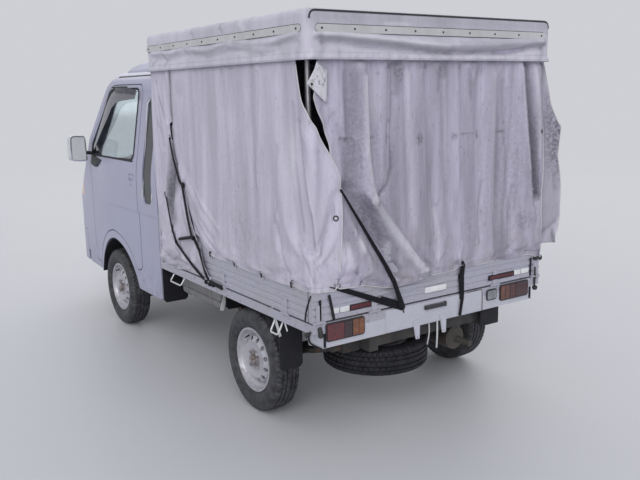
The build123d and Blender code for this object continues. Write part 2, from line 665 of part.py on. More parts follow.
# Wheels: rim and tyre drawn about the wheel's centre, outboard towards +X
def rim_solid(with_drum):
    """A pressed steel wheel with its ring of holes and its nuts."""
    barrel = [
        (-57.0, RIM_FLANGE_RADIUS),
        (-BEAD_HALF_WIDTH, RIM_FLANGE_RADIUS),
        (-BEAD_HALF_WIDTH, BEAD_RADIUS - 0.3),
        (-34.0, BEAD_RADIUS - 1.4),
        (-18.0, 130.0),
        (16.0, 130.0),
        (34.0, BEAD_RADIUS - 1.4),
        (BEAD_HALF_WIDTH, BEAD_RADIUS - 0.3),
        (BEAD_HALF_WIDTH, RIM_FLANGE_RADIUS),
        (57.0, RIM_FLANGE_RADIUS),
        (57.0, 156.0),
        (36.0, 146.0),
        (18.0, 126.0),
        (-20.0, 126.0),
        (-36.0, 146.0),
        (-57.0, 156.0),
    ]
    disc = [
        (12.0, 127.0),
        (17.0, 127.0),
        (34.0, 119.0),
        (49.0, 96.0),
        (WHEEL_OFFSET + 4.0, 72.0),
        (WHEEL_OFFSET + 4.0, 27.0),
        (WHEEL_OFFSET, 27.0),
        (WHEEL_OFFSET, 73.0),
        (44.0, 95.0),
        (30.0, 116.0),
        (12.0, 122.0),
    ]
    shape = spin(barrel) + spin(disc)
    for i in range(WHEEL_HOLES):
        turn = 360.0 / WHEEL_HOLES * (i + 0.5)
        hole = Rot(turn, 0, 0) * Pos(40.0, 0, 107.0) * Rot(0, 90, 0) * Cylinder(11.5, 60.0)
        shape = shape - hole
    for i in range(WHEEL_NUTS):
        turn = 360.0 / WHEEL_NUTS * (i + 0.5)
        nut_place = Rot(turn, 0, 0) * Pos(WHEEL_OFFSET + 4.0, 0, NUT_CIRCLE_RADIUS) * Rot(0, 90, 0)
        nut = nut_place * extrude(RegularPolygon(11.0, 6), 13.0)
        shape = shape + nut
    if not with_drum:
        return shape
    drum = [
        (WHEEL_OFFSET, SPIGOT_RADIUS + HINGE_FIT),
        (WHEEL_OFFSET, 100.0),
        (DRUM_MOUTH, 100.0),
        (DRUM_MOUTH, 92.0),
        (WHEEL_OFFSET - 12.0, 92.0),
        (WHEEL_OFFSET - 12.0, 40.0),
        (-20.0, 36.0),
        (-20.0, SPIGOT_RADIUS + HINGE_FIT),
    ]
    cap = [(WHEEL_OFFSET - 6.0, 0.0), (WHEEL_OFFSET - 6.0, 27.0), (62.0, 24.0), (66.0, 18.0), (66.0, 0.0)]
    return shape + spin(drum) + spin(cap)


def tyre_solid():
    """A tyre: beads, sidewalls and tread in one ring."""
    half = [
        (BEAD_HALF_WIDTH, BEAD_RADIUS),
        (BEAD_HALF_WIDTH, 170.0),
        (68.0, 190.0),
        (TYRE_HALF_WIDTH, 214.0),
        (68.0, 244.0),
        (54.0, 264.0),
        (36.0, TYRE_RADIUS),
    ]
    ring = half + [(-a, r) for a, r in reversed(half)]
    hollow = [(42.0, 150.0), (42.0, 172.0), (60.0, 200.0), (60.0, 236.0), (44.0, 254.0)]
    hollow = hollow + [(-a, r) for a, r in reversed(hollow)]
    return spin(ring) - spin(hollow)


wheel_rim = rim_solid(True)
tyre = tyre_solid()
AXLES = (("front", FRONT_AXLE_Y, FRONT_TRACK / 2), ("rear", REAR_AXLE_Y, REAR_TRACK / 2))
for end, y, half_track in AXLES:
    for side, sign in SIDES:
        place = Pos(sign * half_track, y, AXLE_Z)
        save(f"{end}_{side}_rim", place * mirrored(wheel_rim, sign))
        save(f"{end}_{side}_tyre", place * mirrored(tyre, sign))

# Spare wheel, flat under the rear of the bed on a central bolt
SPARE = (170.0, 1418.0, 316.0)
spare_place = Pos(*SPARE) * Rot(0, 90, 0)
carrier = rod((SPARE[0], SPARE[1], 262.0), (SPARE[0], SPARE[1], 415.0), 9.0)
carrier = carrier + rod((SPARE[0], SPARE[1], 262.0), (SPARE[0], SPARE[1], 275.9), 40.0)
save("spare_wheel", (spare_place * rim_solid(False)) + carrier)
save("spare_tyre", spare_place * tyre)

# Front knuckles with their struts, turning about the kingpin line
foot = Vector(KINGPIN_FOOT[0], FRONT_AXLE_Y, KINGPIN_FOOT[1])
head = Vector(KINGPIN_HEAD[0], FRONT_AXLE_Y, KINGPIN_HEAD[1])
kingpin = (head - foot).normalized()
STUD_RADIUS = 9.0


def on_kingpin(distance):
    """A point on the left kingpin line, measured up from its foot."""
    return foot + kingpin * distance


def kingpin_bar(low, high, radius):
    """A bar on the left kingpin line."""
    return rod(on_kingpin(low), on_kingpin(high), radius)


EYE_Y = FRONT_AXLE_Y + STEERING_ARM
EYE_X = 576.0
EYE_Z = (278.0, 292.0)
TIE_ROD_Z = 318.0
knuckle = kingpin_bar(-20.0, 2.0, STUD_RADIUS) + kingpin_bar(0.0, 130.0, 21.0)
knuckle = knuckle + kingpin_bar(100.0, 395.0, 24.0) + kingpin_bar(390.0, 398.0, 58.0)
knuckle = knuckle + kingpin_bar(395.0, 490.0, 11.0)
knuckle = knuckle + rod((578.0, FRONT_AXLE_Y, AXLE_Z), (640.0, FRONT_AXLE_Y, AXLE_Z), SPIGOT_RADIUS)
knuckle = knuckle + rod((578.0, FRONT_AXLE_Y, AXLE_Z), (592.0, FRONT_AXLE_Y, AXLE_Z), 60.0)
knuckle = knuckle + rod((583.0, FRONT_AXLE_Y, 272.0), (EYE_X, EYE_Y, 285.0), 10.0)
knuckle = knuckle + rod((EYE_X, EYE_Y, EYE_Z[0]), (EYE_X, EYE_Y, EYE_Z[1]), 15.0)
for side, sign in SIDES:
    save(f"{side}_knuckle", mirrored(knuckle, sign))

# Lower arms with a ball socket under each knuckle
arm_rows = [
    (388.0, -885.0, 8.0),
    (470.0, -850.0, 30.0),
    (590.0, FRONT_AXLE_Y - 20.0, 0.0),
    (590.0, FRONT_AXLE_Y + 20.0, 0.0),
    (470.0, -775.0, 30.0),
    (388.0, -740.0, 8.0),
]
arm = prism("plan", arm_rows, 168.0, 182.0) + kingpin_bar(-22.0, -8.0, 24.0)
arm = arm - kingpin_bar(-30.0, 10.0, STUD_RADIUS + HINGE_FIT)
frame = frame + both(arm + block(385.0, 390.0, -880.0, -745.0, 168.0, 182.0))

# Steering rack with its two rods; each rod's end stands over the eye that it moves
rack = rod((-440.0, EYE_Y, TIE_ROD_Z), (440.0, EYE_Y, TIE_ROD_Z), 12.0)
tie_rod = rod((430.0, EYE_Y, TIE_ROD_Z), (EYE_X, EYE_Y, TIE_ROD_Z), 8.0)
tie_end = rod((EYE_X, EYE_Y, TIE_ROD_Z - 7.0), (EYE_X, EYE_Y, TIE_ROD_Z + 7.0), 15.0)
save("steering_rack", rack + both(tie_rod + tie_end))
rack_tube = rod((-250.0, EYE_Y, TIE_ROD_Z), (250.0, EYE_Y, TIE_ROD_Z), 24.0)
rack_tube = rack_tube - rod((-260.0, EYE_Y, TIE_ROD_Z), (260.0, EYE_Y, TIE_ROD_Z), 12.0 + 0.3)
rack_legs = both(block(215.0, 240.0, EYE_Y - 12.0, EYE_Y + 12.0, TIE_ROD_Z + 20.0, 430.0))
rack_beam = block(-RAIL_IN_X, RAIL_IN_X, EYE_Y - 25.0, EYE_Y + 25.0, 425.0, 470.0)
save("chassis_frame", frame + rack_tube + rack_legs + rack_beam)

# Load bed: ribbed floor, cross members, side and rear rails, front wall and guard frame
FLOOR_HALF = 706.0
FLOOR_REAR_Y = 1667.0
GROOVES = 13
bed = block(-FLOOR_HALF, FLOOR_HALF, BED_FRONT_Y, FLOOR_REAR_Y, FLOOR_UNDER_Z, FLOOR_Z)
for i in range(GROOVES):
    x = (i - (GROOVES - 1) / 2) * 104.0
    bed = bed - block(x - 26.0, x + 26.0, BED_FRONT_Y, FLOOR_REAR_Y, FLOOR_Z - 6.0, FLOOR_Z + 5.0)
bed = bed + both(block(692.0, HALF_WIDTH, BED_FRONT_Y, REAR_Y, RAIL_UNDER_Z, RAIL_TOP_Z))
BED_MEMBER_YS = (70.0, 420.0, 760.0, 1418.0, 1625.0)
for y in BED_MEMBER_YS:
    bed = bed + block(-700.0, 700.0, y - 30.0, y + 30.0, 565.0, FLOOR_UNDER_Z)
    bed = bed + both(block(RAIL_IN_X, RAIL_OUT_X, y - 25.0, y + 25.0, REAR_RAIL_Z[1], 570.0))
bed = bed + block(-HALF_WIDTH, HALF_WIDTH, 1655.0, REAR_Y, RAIL_UNDER_Z, RAIL_TOP_Z)
bed = bed + block(-HALF_WIDTH, HALF_WIDTH, BED_FRONT_Y, BED_FRONT_Y + 25.0, RAIL_UNDER_Z, GATE_TOP_Z)
GUARD_TOP_Z = 1500.0
bed = bed + both(block(670.0, 700.0, BED_FRONT_Y, BED_FRONT_Y + 25.0, GATE_TOP_Z, GUARD_TOP_Z))
for z in (1090.0, 1280.0, GUARD_TOP_Z - 15.0):
    bed = bed + block(-672.0, 672.0, BED_FRONT_Y + 3.0, BED_FRONT_Y + 22.0, z - 15.0, z + 15.0)

# Gate hinges: knuckles on the rails, knuckles and straps on the gates
SIDE_HINGE_YS = (250.0, 864.0, 1480.0)
TAIL_HINGE_XS = (-704.0, -396.0, 396.0, 704.0)
HINGE_X = HALF_WIDTH + HINGE_OUT
HINGE_Y = REAR_Y + HINGE_OUT


def hinge(along, cross, place):
    """The fixed and the moving half of one gate hinge; along is 'y' for a side gate, 'x' for the tailgate."""

    def at(a, out, z):
        return (out, a, z) if along == "y" else (a, out, z)

    def strap(low, high, z0, z1):
        inner = cross - HINGE_OUT
        first = at(low, inner, z0)
        second = at(high, inner + 4.0, z1)
        return block(first[0], second[0], first[1], second[1], z0, z1)

    def knuckle_bar(low, high, radius):
        return rod(at(low, cross, HINGE_Z), at(high, cross, HINGE_Z), radius)

    fixed = knuckle_bar(place - 32.0, place - 16.0, KNUCKLE_RADIUS)
    fixed = fixed + knuckle_bar(place + 16.0, place + 32.0, KNUCKLE_RADIUS)
    fixed = fixed + knuckle_bar(place - 33.0, place + 33.0, HINGE_PIN_RADIUS)
    fixed = fixed + strap(place - 32.0, place - 16.0, 592.0, HINGE_Z)
    fixed = fixed + strap(place + 16.0, place + 32.0, 592.0, HINGE_Z)
    moving = strap(place - 15.0, place + 15.0, HINGE_Z, HINGE_Z + 80.0)
    moving = moving + knuckle_bar(place - 15.0, place + 15.0, KNUCKLE_RADIUS)
    moving = moving - knuckle_bar(place - 16.0, place + 16.0, HINGE_PIN_RADIUS + HINGE_FIT)
    return fixed, moving


side_hinges = [hinge("y", HINGE_X, y) for y in SIDE_HINGE_YS]
tail_hinges = [hinge("x", HINGE_Y, x) for x in TAIL_HINGE_XS]
for fixed, moving in side_hinges:
    bed = bed + both(fixed)
for fixed, moving in tail_hinges:
    bed = bed + fixed

# Wire stops under the side rails that keep an opened side gate off the tank and the tyre;
# each row is (front leg, rear leg, height of the foot)
STOP_WIRE_RADIUS = 4.5
STOP_X = (724.0, 760.0)
STOP_ROOT_Z = 570.0
GATE_STOPS = ((215.0, 361.0, 517.0), (1372.0, 1440.0, 500.0))
for front, rear, foot_z in GATE_STOPS:
    stop = tube_run(
        [
            (STOP_X[0], front, STOP_ROOT_Z),
            (STOP_X[1], front, foot_z),
            (STOP_X[1], rear, foot_z),
            (STOP_X[0], rear, STOP_ROOT_Z),
        ],
        STOP_WIRE_RADIUS,
        14.0,
    )
    bed = bed + both(stop)
save("load_bed", bed)

# Gates: one panel with pressed swages along it
SWAGE_DEPTH = 4.0
SWAGES = ((632.0, 646.0), (664.0, 678.0), (696.0, 710.0), (820.0, 834.0), (852.0, 866.0))
panel_rows = [(-GATE_THICKNESS, GATE_BOTTOM_Z, 0.0), (0.0, GATE_BOTTOM_Z, 0.0)]
for low, high in SWAGES:
    panel_rows = panel_rows + [
        (0.0, low, 0.0),
        (-SWAGE_DEPTH, low + SWAGE_DEPTH, 0.0),
        (-SWAGE_DEPTH, high - SWAGE_DEPTH, 0.0),
        (0.0, high, 0.0),
    ]
panel_rows = panel_rows + [(0.0, GATE_TOP_Z, 0.0), (-GATE_THICKNESS, GATE_TOP_Z, 0.0)]
side_rows = [(HALF_WIDTH + out, z, radius) for out, z, radius in panel_rows]
side_gate = prism("front", side_rows, SIDE_GATE_FRONT_Y, SIDE_GATE_REAR_Y)
for fixed, moving in side_hinges:
    side_gate = side_gate + moving
for side, sign in SIDES:
    save(f"{side}_gate", mirrored(side_gate, sign))
tail_rows = [(REAR_Y + out, z, radius) for out, z, radius in panel_rows]
tailgate = prism("side", tail_rows, -HALF_WIDTH, HALF_WIDTH)
for fixed, moving in tail_hinges:
    tailgate = tailgate + moving
save("tailgate", tailgate)

# Rear valance with its end caps, plate brackets and gate stops
VALANCE_HALF = 683.0
valance = block(-VALANCE_HALF, VALANCE_HALF, REAR_Y - 8.0, REAR_Y, 487.0, RAIL_UNDER_Z)
valance = valance + block(-292.0, 328.0, REAR_Y, REAR_Y + 3.0, 492.0, RAIL_TOP_Z - 6.0)
cap_rows = [
    (REAR_Y, 487.0, 0.0),
    (REAR_Y, RAIL_UNDER_Z, 0.0),
    (1585.0, RAIL_UNDER_Z, 0.0),
    (1560.0, 545.0, 10.0),
    (1582.0, 474.0, 14.0),
]
valance = valance + both(prism("side", cap_rows, VALANCE_HALF - 8.0, VALANCE_HALF))
PLATE_HOLE_RADIUS = 3.5
PLATE_HOLE_Z = 434.0
PLATE_BRACKET_XS = (133.0, -40.0)
for x in PLATE_BRACKET_XS:
    rows = [(x - 12.0, 424.0, 6.0), (x + 12.0, 424.0, 6.0), (x + 30.0, 520.0, 4.0), (x - 14.0, 520.0, 4.0)]
    plate = prism("front", rows, REAR_Y + 3.0, REAR_Y + 7.0)
    plate = plate - rod((x, REAR_Y, PLATE_HOLE_Z), (x, REAR_Y + 10.0, PLATE_HOLE_Z), PLATE_HOLE_RADIUS)
    valance = valance + plate
save("rear_valance", valance)

# Tail lamps, reversing lamp and plate lamp. Each lamp is a lens set in a rubber frame;
# each row is (left edge, right edge, foot, top, back face, places of the lens joints)
LAMPS = (
    (453.0, 669.0, 514.0, 600.0, REAR_Y, (489.0, 525.0, 569.0)),
    (-650.0, -434.0, 514.0, 600.0, REAR_Y, (-550.0, -506.0, -470.0)),
    (-411.0, -335.0, 532.0, 590.0, REAR_Y + 3.0, ()),
)
LAMP_FRAME = 6.0
FRAME_FACE_Y = REAR_Y + 6.0
LENS_FACE_Y = REAR_Y + 9.0
JOINT_HALF = 1.2
lamps = None
for x0, x1, z0, z1, back_y, joints in LAMPS:
    rows = [(x0, z0, 14.0), (x1, z0, 14.0), (x1, z1, 14.0), (x0, z1, 14.0)]
    lamp = prism("front", rows, back_y, FRAME_FACE_Y)
    lens = prism("front", inset(rows, LAMP_FRAME), FRAME_FACE_Y, LENS_FACE_Y)
    for x in joints:
        lens = lens - block(x - JOINT_HALF, x + JOINT_HALF, FRAME_FACE_Y, LENS_FACE_Y, z0, z1)
    lamp = lamp + lens
    lamps = lamp if lamps is None else lamps + lamp
plate_lamp = block(-44.0, 89.0, REAR_Y + 3.0, REAR_Y + 16.0, 562.0, 582.0)
plate_lamp = plate_lamp + rod((-44.0, REAR_Y + 9.5, 560.0), (-44.0, REAR_Y + 9.5, 584.0), 6.5)
save("tail_lamps", lamps + plate_lamp)

# Canopy frame: hoops standing on the bed, with a ridge, eaves and middle rails
hoops = None
for y in HOOP_YS:
    hoop = tube_run(
        [
            (-HOOP_HALF_WIDTH, y, FLOOR_Z),
            (-HOOP_HALF_WIDTH, y, HOOP_TOP_Z),
            (HOOP_HALF_WIDTH, y, HOOP_TOP_Z),
            (HOOP_HALF_WIDTH, y, FLOOR_Z),
        ],
        HOOP_RADIUS,
        90.0,
    )
    hoops = hoop if hoops is None else hoops + hoop
save("canopy_hoops", hoops)
CANOPY_RAIL_RADIUS = 10.0
RAIL_INSIDE = HOOP_HALF_WIDTH - HOOP_RADIUS - CANOPY_RAIL_RADIUS
canopy_rails = None
for x, z in (
    (0.0, HOOP_TOP_Z - HOOP_RADIUS - CANOPY_RAIL_RADIUS),
    (RAIL_INSIDE, 1790.0),
    (-RAIL_INSIDE, 1790.0),
    (RAIL_INSIDE, 1120.0),
    (-RAIL_INSIDE, 1120.0),
):
    run = rod((x, HOOP_YS[0] - HOOP_RADIUS, z), (x, HOOP_YS[-1] + HOOP_RADIUS, z), CANOPY_RAIL_RADIUS)
    canopy_rails = run if canopy_rails is None else canopy_rails + run
save("canopy_rails", canopy_rails)


# Canvas cover: a cap with a skirt all round, and hanging curtains
def cap_block(inwards, top, foot_z):
    """The cap's form, moved inwards on its sides."""
    edge = COVER_HALF_WIDTH - inwards
    body = block(-edge, edge, COVER_FRONT_Y + inwards, COVER_REAR_Y - inwards, foot_z, top)
    body = fillet(body.edges().filter_by(Axis.Z), 34.0 - inwards)
    return fillet(body.faces().sort_by(Axis.Z)[-1].edges(), 24.0 - inwards)


cap = cap_block(0.0, COVER_TOP_Z, COVER_SKIRT_Z) - cap_block(CANVAS, COVER_TOP_Z - CANVAS, 1700.0)

SIDE_CURTAIN_X = (738.5, 741.5)
REAR_CURTAIN_Y = (1698.5, 1701.5)
FRONT_CURTAIN_Y = (19.0, 23.0)
UNDER_SKIRT_Z = COVER_SKIRT_Z - 5.0
CORNER_CLEARANCE = 36.0
main_rows = [
    (300.0, 790.0, 0.0),
    (700.0, CURTAIN_HEM_Z, 0.0),
    (1700.0, CURTAIN_HEM_Z - 6.0, 0.0),
    (1700.0, UNDER_SKIRT_Z, 0.0),
    (COVER_REAR_Y - CORNER_CLEARANCE, UNDER_SKIRT_Z, 0.0),
    (COVER_REAR_Y - CORNER_CLEARANCE, CURTAIN_TOP_Z, 0.0),
    (300.0, CURTAIN_TOP_Z, 0.0),
]
flap_rows = [
    (66.0, 700.0, 0.0),
    (190.0, 760.0, 0.0),
    (285.0, 1200.0, 0.0),
    (270.0, CURTAIN_TOP_Z, 0.0),
    (COVER_FRONT_Y + CORNER_CLEARANCE, CURTAIN_TOP_Z, 0.0),
    (COVER_FRONT_Y + CORNER_CLEARANCE, UNDER_SKIRT_Z, 0.0),
    (32.0, UNDER_SKIRT_Z, 0.0),
]
corner_rows = [
    (SIDE_CURTAIN_X[1], 748.0, 0.0),
    (SIDE_CURTAIN_X[1], 1505.0, 0.0),
    (597.0, 1260.0, 0.0),
    (576.0, 1056.0, 0.0),
    (608.0, 741.0, 0.0),
]
side_curtain = prism("side", main_rows, *SIDE_CURTAIN_X) + prism("side", flap_rows, *SIDE_CURTAIN_X)
corner = prism("front", corner_rows, 1702.5, 1705.0)
corner = corner + block(*SIDE_CURTAIN_X, 1700.0, 1705.0, 751.0, 1500.0)
save("left_curtain", side_curtain + corner)
save("right_curtain", mirrored(side_curtain, -1))
rear_rows = [
    (-722.0, 722.0, 0.0),
    (650.0, 730.0, 0.0),
    (650.0, CURTAIN_TOP_Z, 0.0),
    (COVER_HALF_WIDTH * -1 + CORNER_CLEARANCE, CURTAIN_TOP_Z, 0.0),
    (COVER_HALF_WIDTH * -1 + CORNER_CLEARANCE, UNDER_SKIRT_Z, 0.0),
    (-722.0, UNDER_SKIRT_Z, 0.0),
]
save("rear_curtain", prism("front", rear_rows, *REAR_CURTAIN_Y))
front_rows = [
    (-712.0, 905.0, 0.0),
    (712.0, 905.0, 0.0),
    (712.0, CURTAIN_TOP_Z, 0.0),
    (-712.0, CURTAIN_TOP_Z, 0.0),
]
save("canopy_roof", cap + prism("front", front_rows, *FRONT_CURTAIN_Y))


# Rubber straps over the curtains, flat bands between points (a, z)
def band(view, points, width, low, high):
    """A flat band along straight runs, drawn on a view."""
    shape = None
    for (a0, z0), (a1, z1) in zip(points, points[1:]):
        run = Vector(a1 - a0, z1 - z0).normalized()
        across = Vector(-run.Y, run.X) * (width / 2)
        rows = [
            (a0 + across.X, z0 + across.Y, 0.0),
            (a0 - across.X, z0 - across.Y, 0.0),
            (a1 - across.X, z1 - across.Y, 0.0),
            (a1 + across.X, z1 + across.Y, 0.0),
        ]
        piece = prism(view, rows, low, high)
        shape = piece if shape is None else shape + piece
    return shape


STRAP_X = (742.0, 746.0)
STRAP_Y = (1705.3, 1708.0)
left_straps = band("side", [(312.0, 1346.0), (450.0, 1104.0), (681.0, 622.0)], 22.0, *STRAP_X)
left_straps = left_straps + band("side", [(192.0, 1039.0), (341.0, 770.0), (681.0, 622.0)], 20.0, *STRAP_X)
left_straps = left_straps + band("side", [(345.0, 798.0), (568.0, 838.0)], 16.0, *STRAP_X)
rear_straps = band("front", [(589.0, 1197.0), (233.0, 612.0), (613.0, 752.0)], 20.0, *STRAP_Y)
save("cover_straps", left_straps + rear_straps)

# Mud flaps: behind the cab, ahead of the rear wheels and behind them, with their corners cut off;
# each row is (inner edge, outer edge, front face, foot, top)
FLAP = 6.0
FLAP_CORNER = 16.0
MUD_FLAPS = (
    (560.0, 722.0, 4.0, 330.0, 560.0),
    (500.0, 664.0, 732.0, 442.0, 565.0),
    (596.0, 724.0, 1388.0, 300.0, RAIL_UNDER_Z),
)
flaps = None
for x0, x1, y, foot_z, top_z in MUD_FLAPS:
    rows = [
        (x0 + FLAP_CORNER, foot_z, 0.0),
        (x1 - FLAP_CORNER, foot_z, 0.0),
        (x1, foot_z + FLAP_CORNER, 0.0),
        (x1, top_z, 0.0),
        (x0, top_z, 0.0),
        (x0, foot_z + FLAP_CORNER, 0.0),
    ]
    flap = prism("front", rows, y, y + FLAP)
    flaps = flap if flaps is None else flaps + flap
save("mud_flaps", both(flaps))
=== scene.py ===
"""A kei truck with a weathered canvas cover, in a plain studio.

Metres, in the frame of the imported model: +Z is up, the truck drives towards -Y and +X is its left.
"""

import math

import bmesh
import bpy
import numpy as np
from mathutils import Matrix, Vector, noise
from mathutils.bvhtree import BVHTree


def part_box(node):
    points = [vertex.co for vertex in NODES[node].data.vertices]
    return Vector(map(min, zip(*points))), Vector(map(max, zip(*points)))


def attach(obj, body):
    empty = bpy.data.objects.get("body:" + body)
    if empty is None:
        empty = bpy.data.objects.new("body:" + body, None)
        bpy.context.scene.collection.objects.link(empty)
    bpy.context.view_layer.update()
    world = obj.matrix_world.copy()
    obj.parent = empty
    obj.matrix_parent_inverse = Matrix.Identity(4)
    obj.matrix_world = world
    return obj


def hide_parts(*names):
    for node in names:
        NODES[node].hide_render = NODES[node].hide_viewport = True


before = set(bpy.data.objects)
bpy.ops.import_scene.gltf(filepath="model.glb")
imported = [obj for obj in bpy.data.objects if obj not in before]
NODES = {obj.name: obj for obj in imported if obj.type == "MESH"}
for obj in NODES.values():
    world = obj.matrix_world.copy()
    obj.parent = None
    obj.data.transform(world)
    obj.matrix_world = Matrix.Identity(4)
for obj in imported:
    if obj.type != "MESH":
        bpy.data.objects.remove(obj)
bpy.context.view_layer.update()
SCENE = bpy.context.scene
SIDES = (("left", 1), ("right", -1))

# Camera, as the photograph was taken
CAMERA_PLACE = Vector((2.5023, 4.3698, 1.6078))
CAMERA_YAW = math.radians(-145.837)
CAMERA_PITCH = math.radians(-11.015)
CAMERA_ROLL = math.radians(-1.036)
CAMERA_LENS = 43.04
CAMERA_SENSOR = 36.0

# Truck, from the frame
HALF_WIDTH = 0.7375
REAR_Y = 1.6975
AXLE_Z = 0.268
REAR_AXLE_Y = 1.0915
FRONT_AXLE_Y = -0.8085

# Cover, from the frame
COVER_HALF = 0.747
COVER_FRONT = 0.014
COVER_REAR = 1.709
COVER_TOP = 1.942
SKIRT_Z = 1.735
SIDE_X = 0.742
REAR_SHEET_Y = 1.703


def build_camera():
    """The camera at the photograph's viewing angle."""
    sight = Vector((
        math.sin(CAMERA_YAW) * math.cos(CAMERA_PITCH),
        math.cos(CAMERA_YAW) * math.cos(CAMERA_PITCH),
        math.sin(CAMERA_PITCH),
    ))
    level_right = sight.cross(Vector((0, 0, 1))).normalized()
    level_up = level_right.cross(sight)
    right = level_right * math.cos(CAMERA_ROLL) + level_up * math.sin(CAMERA_ROLL)
    up = level_up * math.cos(CAMERA_ROLL) - level_right * math.sin(CAMERA_ROLL)
    turn = Matrix((right, up, -sight)).transposed()
    data = bpy.data.cameras.new("camera")
    data.lens = CAMERA_LENS
    data.sensor_width = CAMERA_SENSOR
    camera = bpy.data.objects.new("camera", data)
    SCENE.collection.objects.link(camera)
    camera.matrix_world = Matrix.Translation(CAMERA_PLACE) @ turn.to_4x4()
    SCENE.camera = camera


build_camera()


# Materials
class Paint:
    """One node material, built up from its Principled shader."""

    def __init__(self, name, color, roughness=0.5, metallic=0.0):
        self.material = bpy.data.materials.new(name)
        self.material.use_nodes = True
        self.tree = self.material.node_tree
        self.shader = self.tree.nodes["Principled BSDF"]
        self.set("Base Color", color)
        self.set("Roughness", roughness)
        self.set("Metallic", metallic)
        self.place = self.add("TexCoord", {}).outputs["Object"]

    def set(self, socket, value):
        """Sets or links one of the shader's sockets."""
        self.feed(self.shader.inputs[socket], value)

    def feed(self, socket, value):
        """Links an output to a socket, or writes a number or colour into it."""
        if isinstance(value, bpy.types.NodeSocket):
            self.tree.links.new(value, socket)
        elif isinstance(value, (tuple, list)) and len(value) == 3 and socket.type == "RGBA":
            socket.default_value = (*value, 1.0)
        else:
            socket.default_value = value

    def add(self, kind, inputs, **settings):
        """A new node with its settings, and its inputs by name or number."""
        node = self.tree.nodes.new("ShaderNode" + kind)
        for name, value in settings.items():
            setattr(node, name, value)
        for socket, value in inputs.items():
            self.feed(node.inputs[socket], value)
        return node

    def axis(self, letter):
        """One coordinate of the surface point."""
        return self.add("SeparateXYZ", {0: self.place}).outputs[letter]

    def shade_and_stains(self, name):
        """One of the mesh's own values at the surface point, such as its painted shade, painted highlight and
        stains with painted shade.
        """
        return self.add("Attribute", {}, attribute_name=name).outputs["Fac"]

    def noise(self, scale, detail=3.0, stretch=(1.0, 1.0, 1.0), roughness=0.55, seed=0.0):
        """Cloud noise from 0 to 1, with features about 1/scale metres across."""
        shift = (seed, seed * 0.7, seed * 1.3)
        place = self.add("Mapping", {"Vector": self.place, "Scale": stretch, "Location": shift}).outputs[0]
        inputs = {"Vector": place, "Scale": scale, "Detail": detail, "Roughness": roughness}
        return self.add("TexNoise", inputs).outputs["Fac"]

    def cells(self, scale):
        """Distance to the nearest of scattered points."""
        return self.add("TexVoronoi", {"Vector": self.place, "Scale": scale}).outputs["Distance"]

    def ramp(self, value, low, high, to_low=0.0, to_high=1.0):
        """Maps low..high to to_low..to_high, held at the ends."""
        inputs = {"Value": value, "From Min": low, "From Max": high, "To Min": to_low, "To Max": to_high}
        return self.add("MapRange", inputs).outputs["Result"]

    def math(self, operation, a, b=0.0):
        """A sum, product or other operation on two values."""
        return self.add("Math", {0: a, 1: b}, operation=operation).outputs[0]

    def mix(self, amount, a, b):
        """Colour a turning into colour b by amount."""
        return self.add("Mix", {"Factor": amount, 6: a, 7: b}, data_type="RGBA", clamp_factor=True).outputs[2]

    def over(self, tone, color, value, low, high, most=1.0):
        """A tone with a colour over it, more of it as value goes from low to high."""
        return self.mix(self.ramp(value, low, high, 0.0, most), tone, color)

    def times(self, a, b):
        """The product of two values or masks."""
        return self.math("MULTIPLY", a, b)

    def above(self, value, limit):
        """1 where value is over limit, else 0."""
        return self.math("GREATER_THAN", value, limit)

    def between(self, value, low, high):
        """1 where value lies between low and high, else 0."""
        return self.times(self.above(value, low), self.math("LESS_THAN", value, high))

    def wave(self, letter, per_metre):
        """Fine even lines along one axis."""
        return self.math("SINE", self.times(self.axis(letter), per_metre * math.tau))

    def bump(self, height, distance, strength=1.0):
        """Adds relief of that many metres on top of the relief so far."""
        node = self.add("Bump", {"Height": height, "Distance": distance, "Strength": strength})
        so_far = self.shader.inputs["Normal"].links
        if so_far:
            self.feed(node.inputs["Normal"], so_far[0].from_socket)
        self.set("Normal", node.outputs["Normal"])


def srgb(red, green, blue):
    """A colour given as it looks, from 0 to 255, as the linear numbers that shaders take."""
    return tuple(((part / 255.0 + 0.055) / 1.055) ** 2.4 for part in (red, green, blue))


def scaled(color, share):
    """A colour made lighter or darker, up to white."""
    return tuple(min(1.0, part * share) for part in color)


BLACK = (0.010, 0.010, 0.014)
SILVER = (0.40, 0.40, 0.54)
GRIME = (0.16, 0.15, 0.14)
DUST = (0.42, 0.40, 0.38)
RUST = (0.17, 0.07, 0.035)
GLASS_IOR = 1.45

# Where a material changes on a piece, from the frame
DRIP_X = (0.585, 0.599)
DRIP_Y = (-0.885, -0.035)
DRIP_Z = 1.60
LENS_Y = REAR_Y + 0.0065
PLATE_LAMP_HALF = 0.20
WIRE_TOP_Z = 0.566
QUARTER_WINDOW_X = 0.60
QUARTER_WINDOW_Y = -0.26
TURN_LAMP_X = 0.628
MIRROR_GLASS_Y = -1.1705
MIRROR_HOUSING_X = 0.768
MIRROR_HOUSING_Z = 1.140


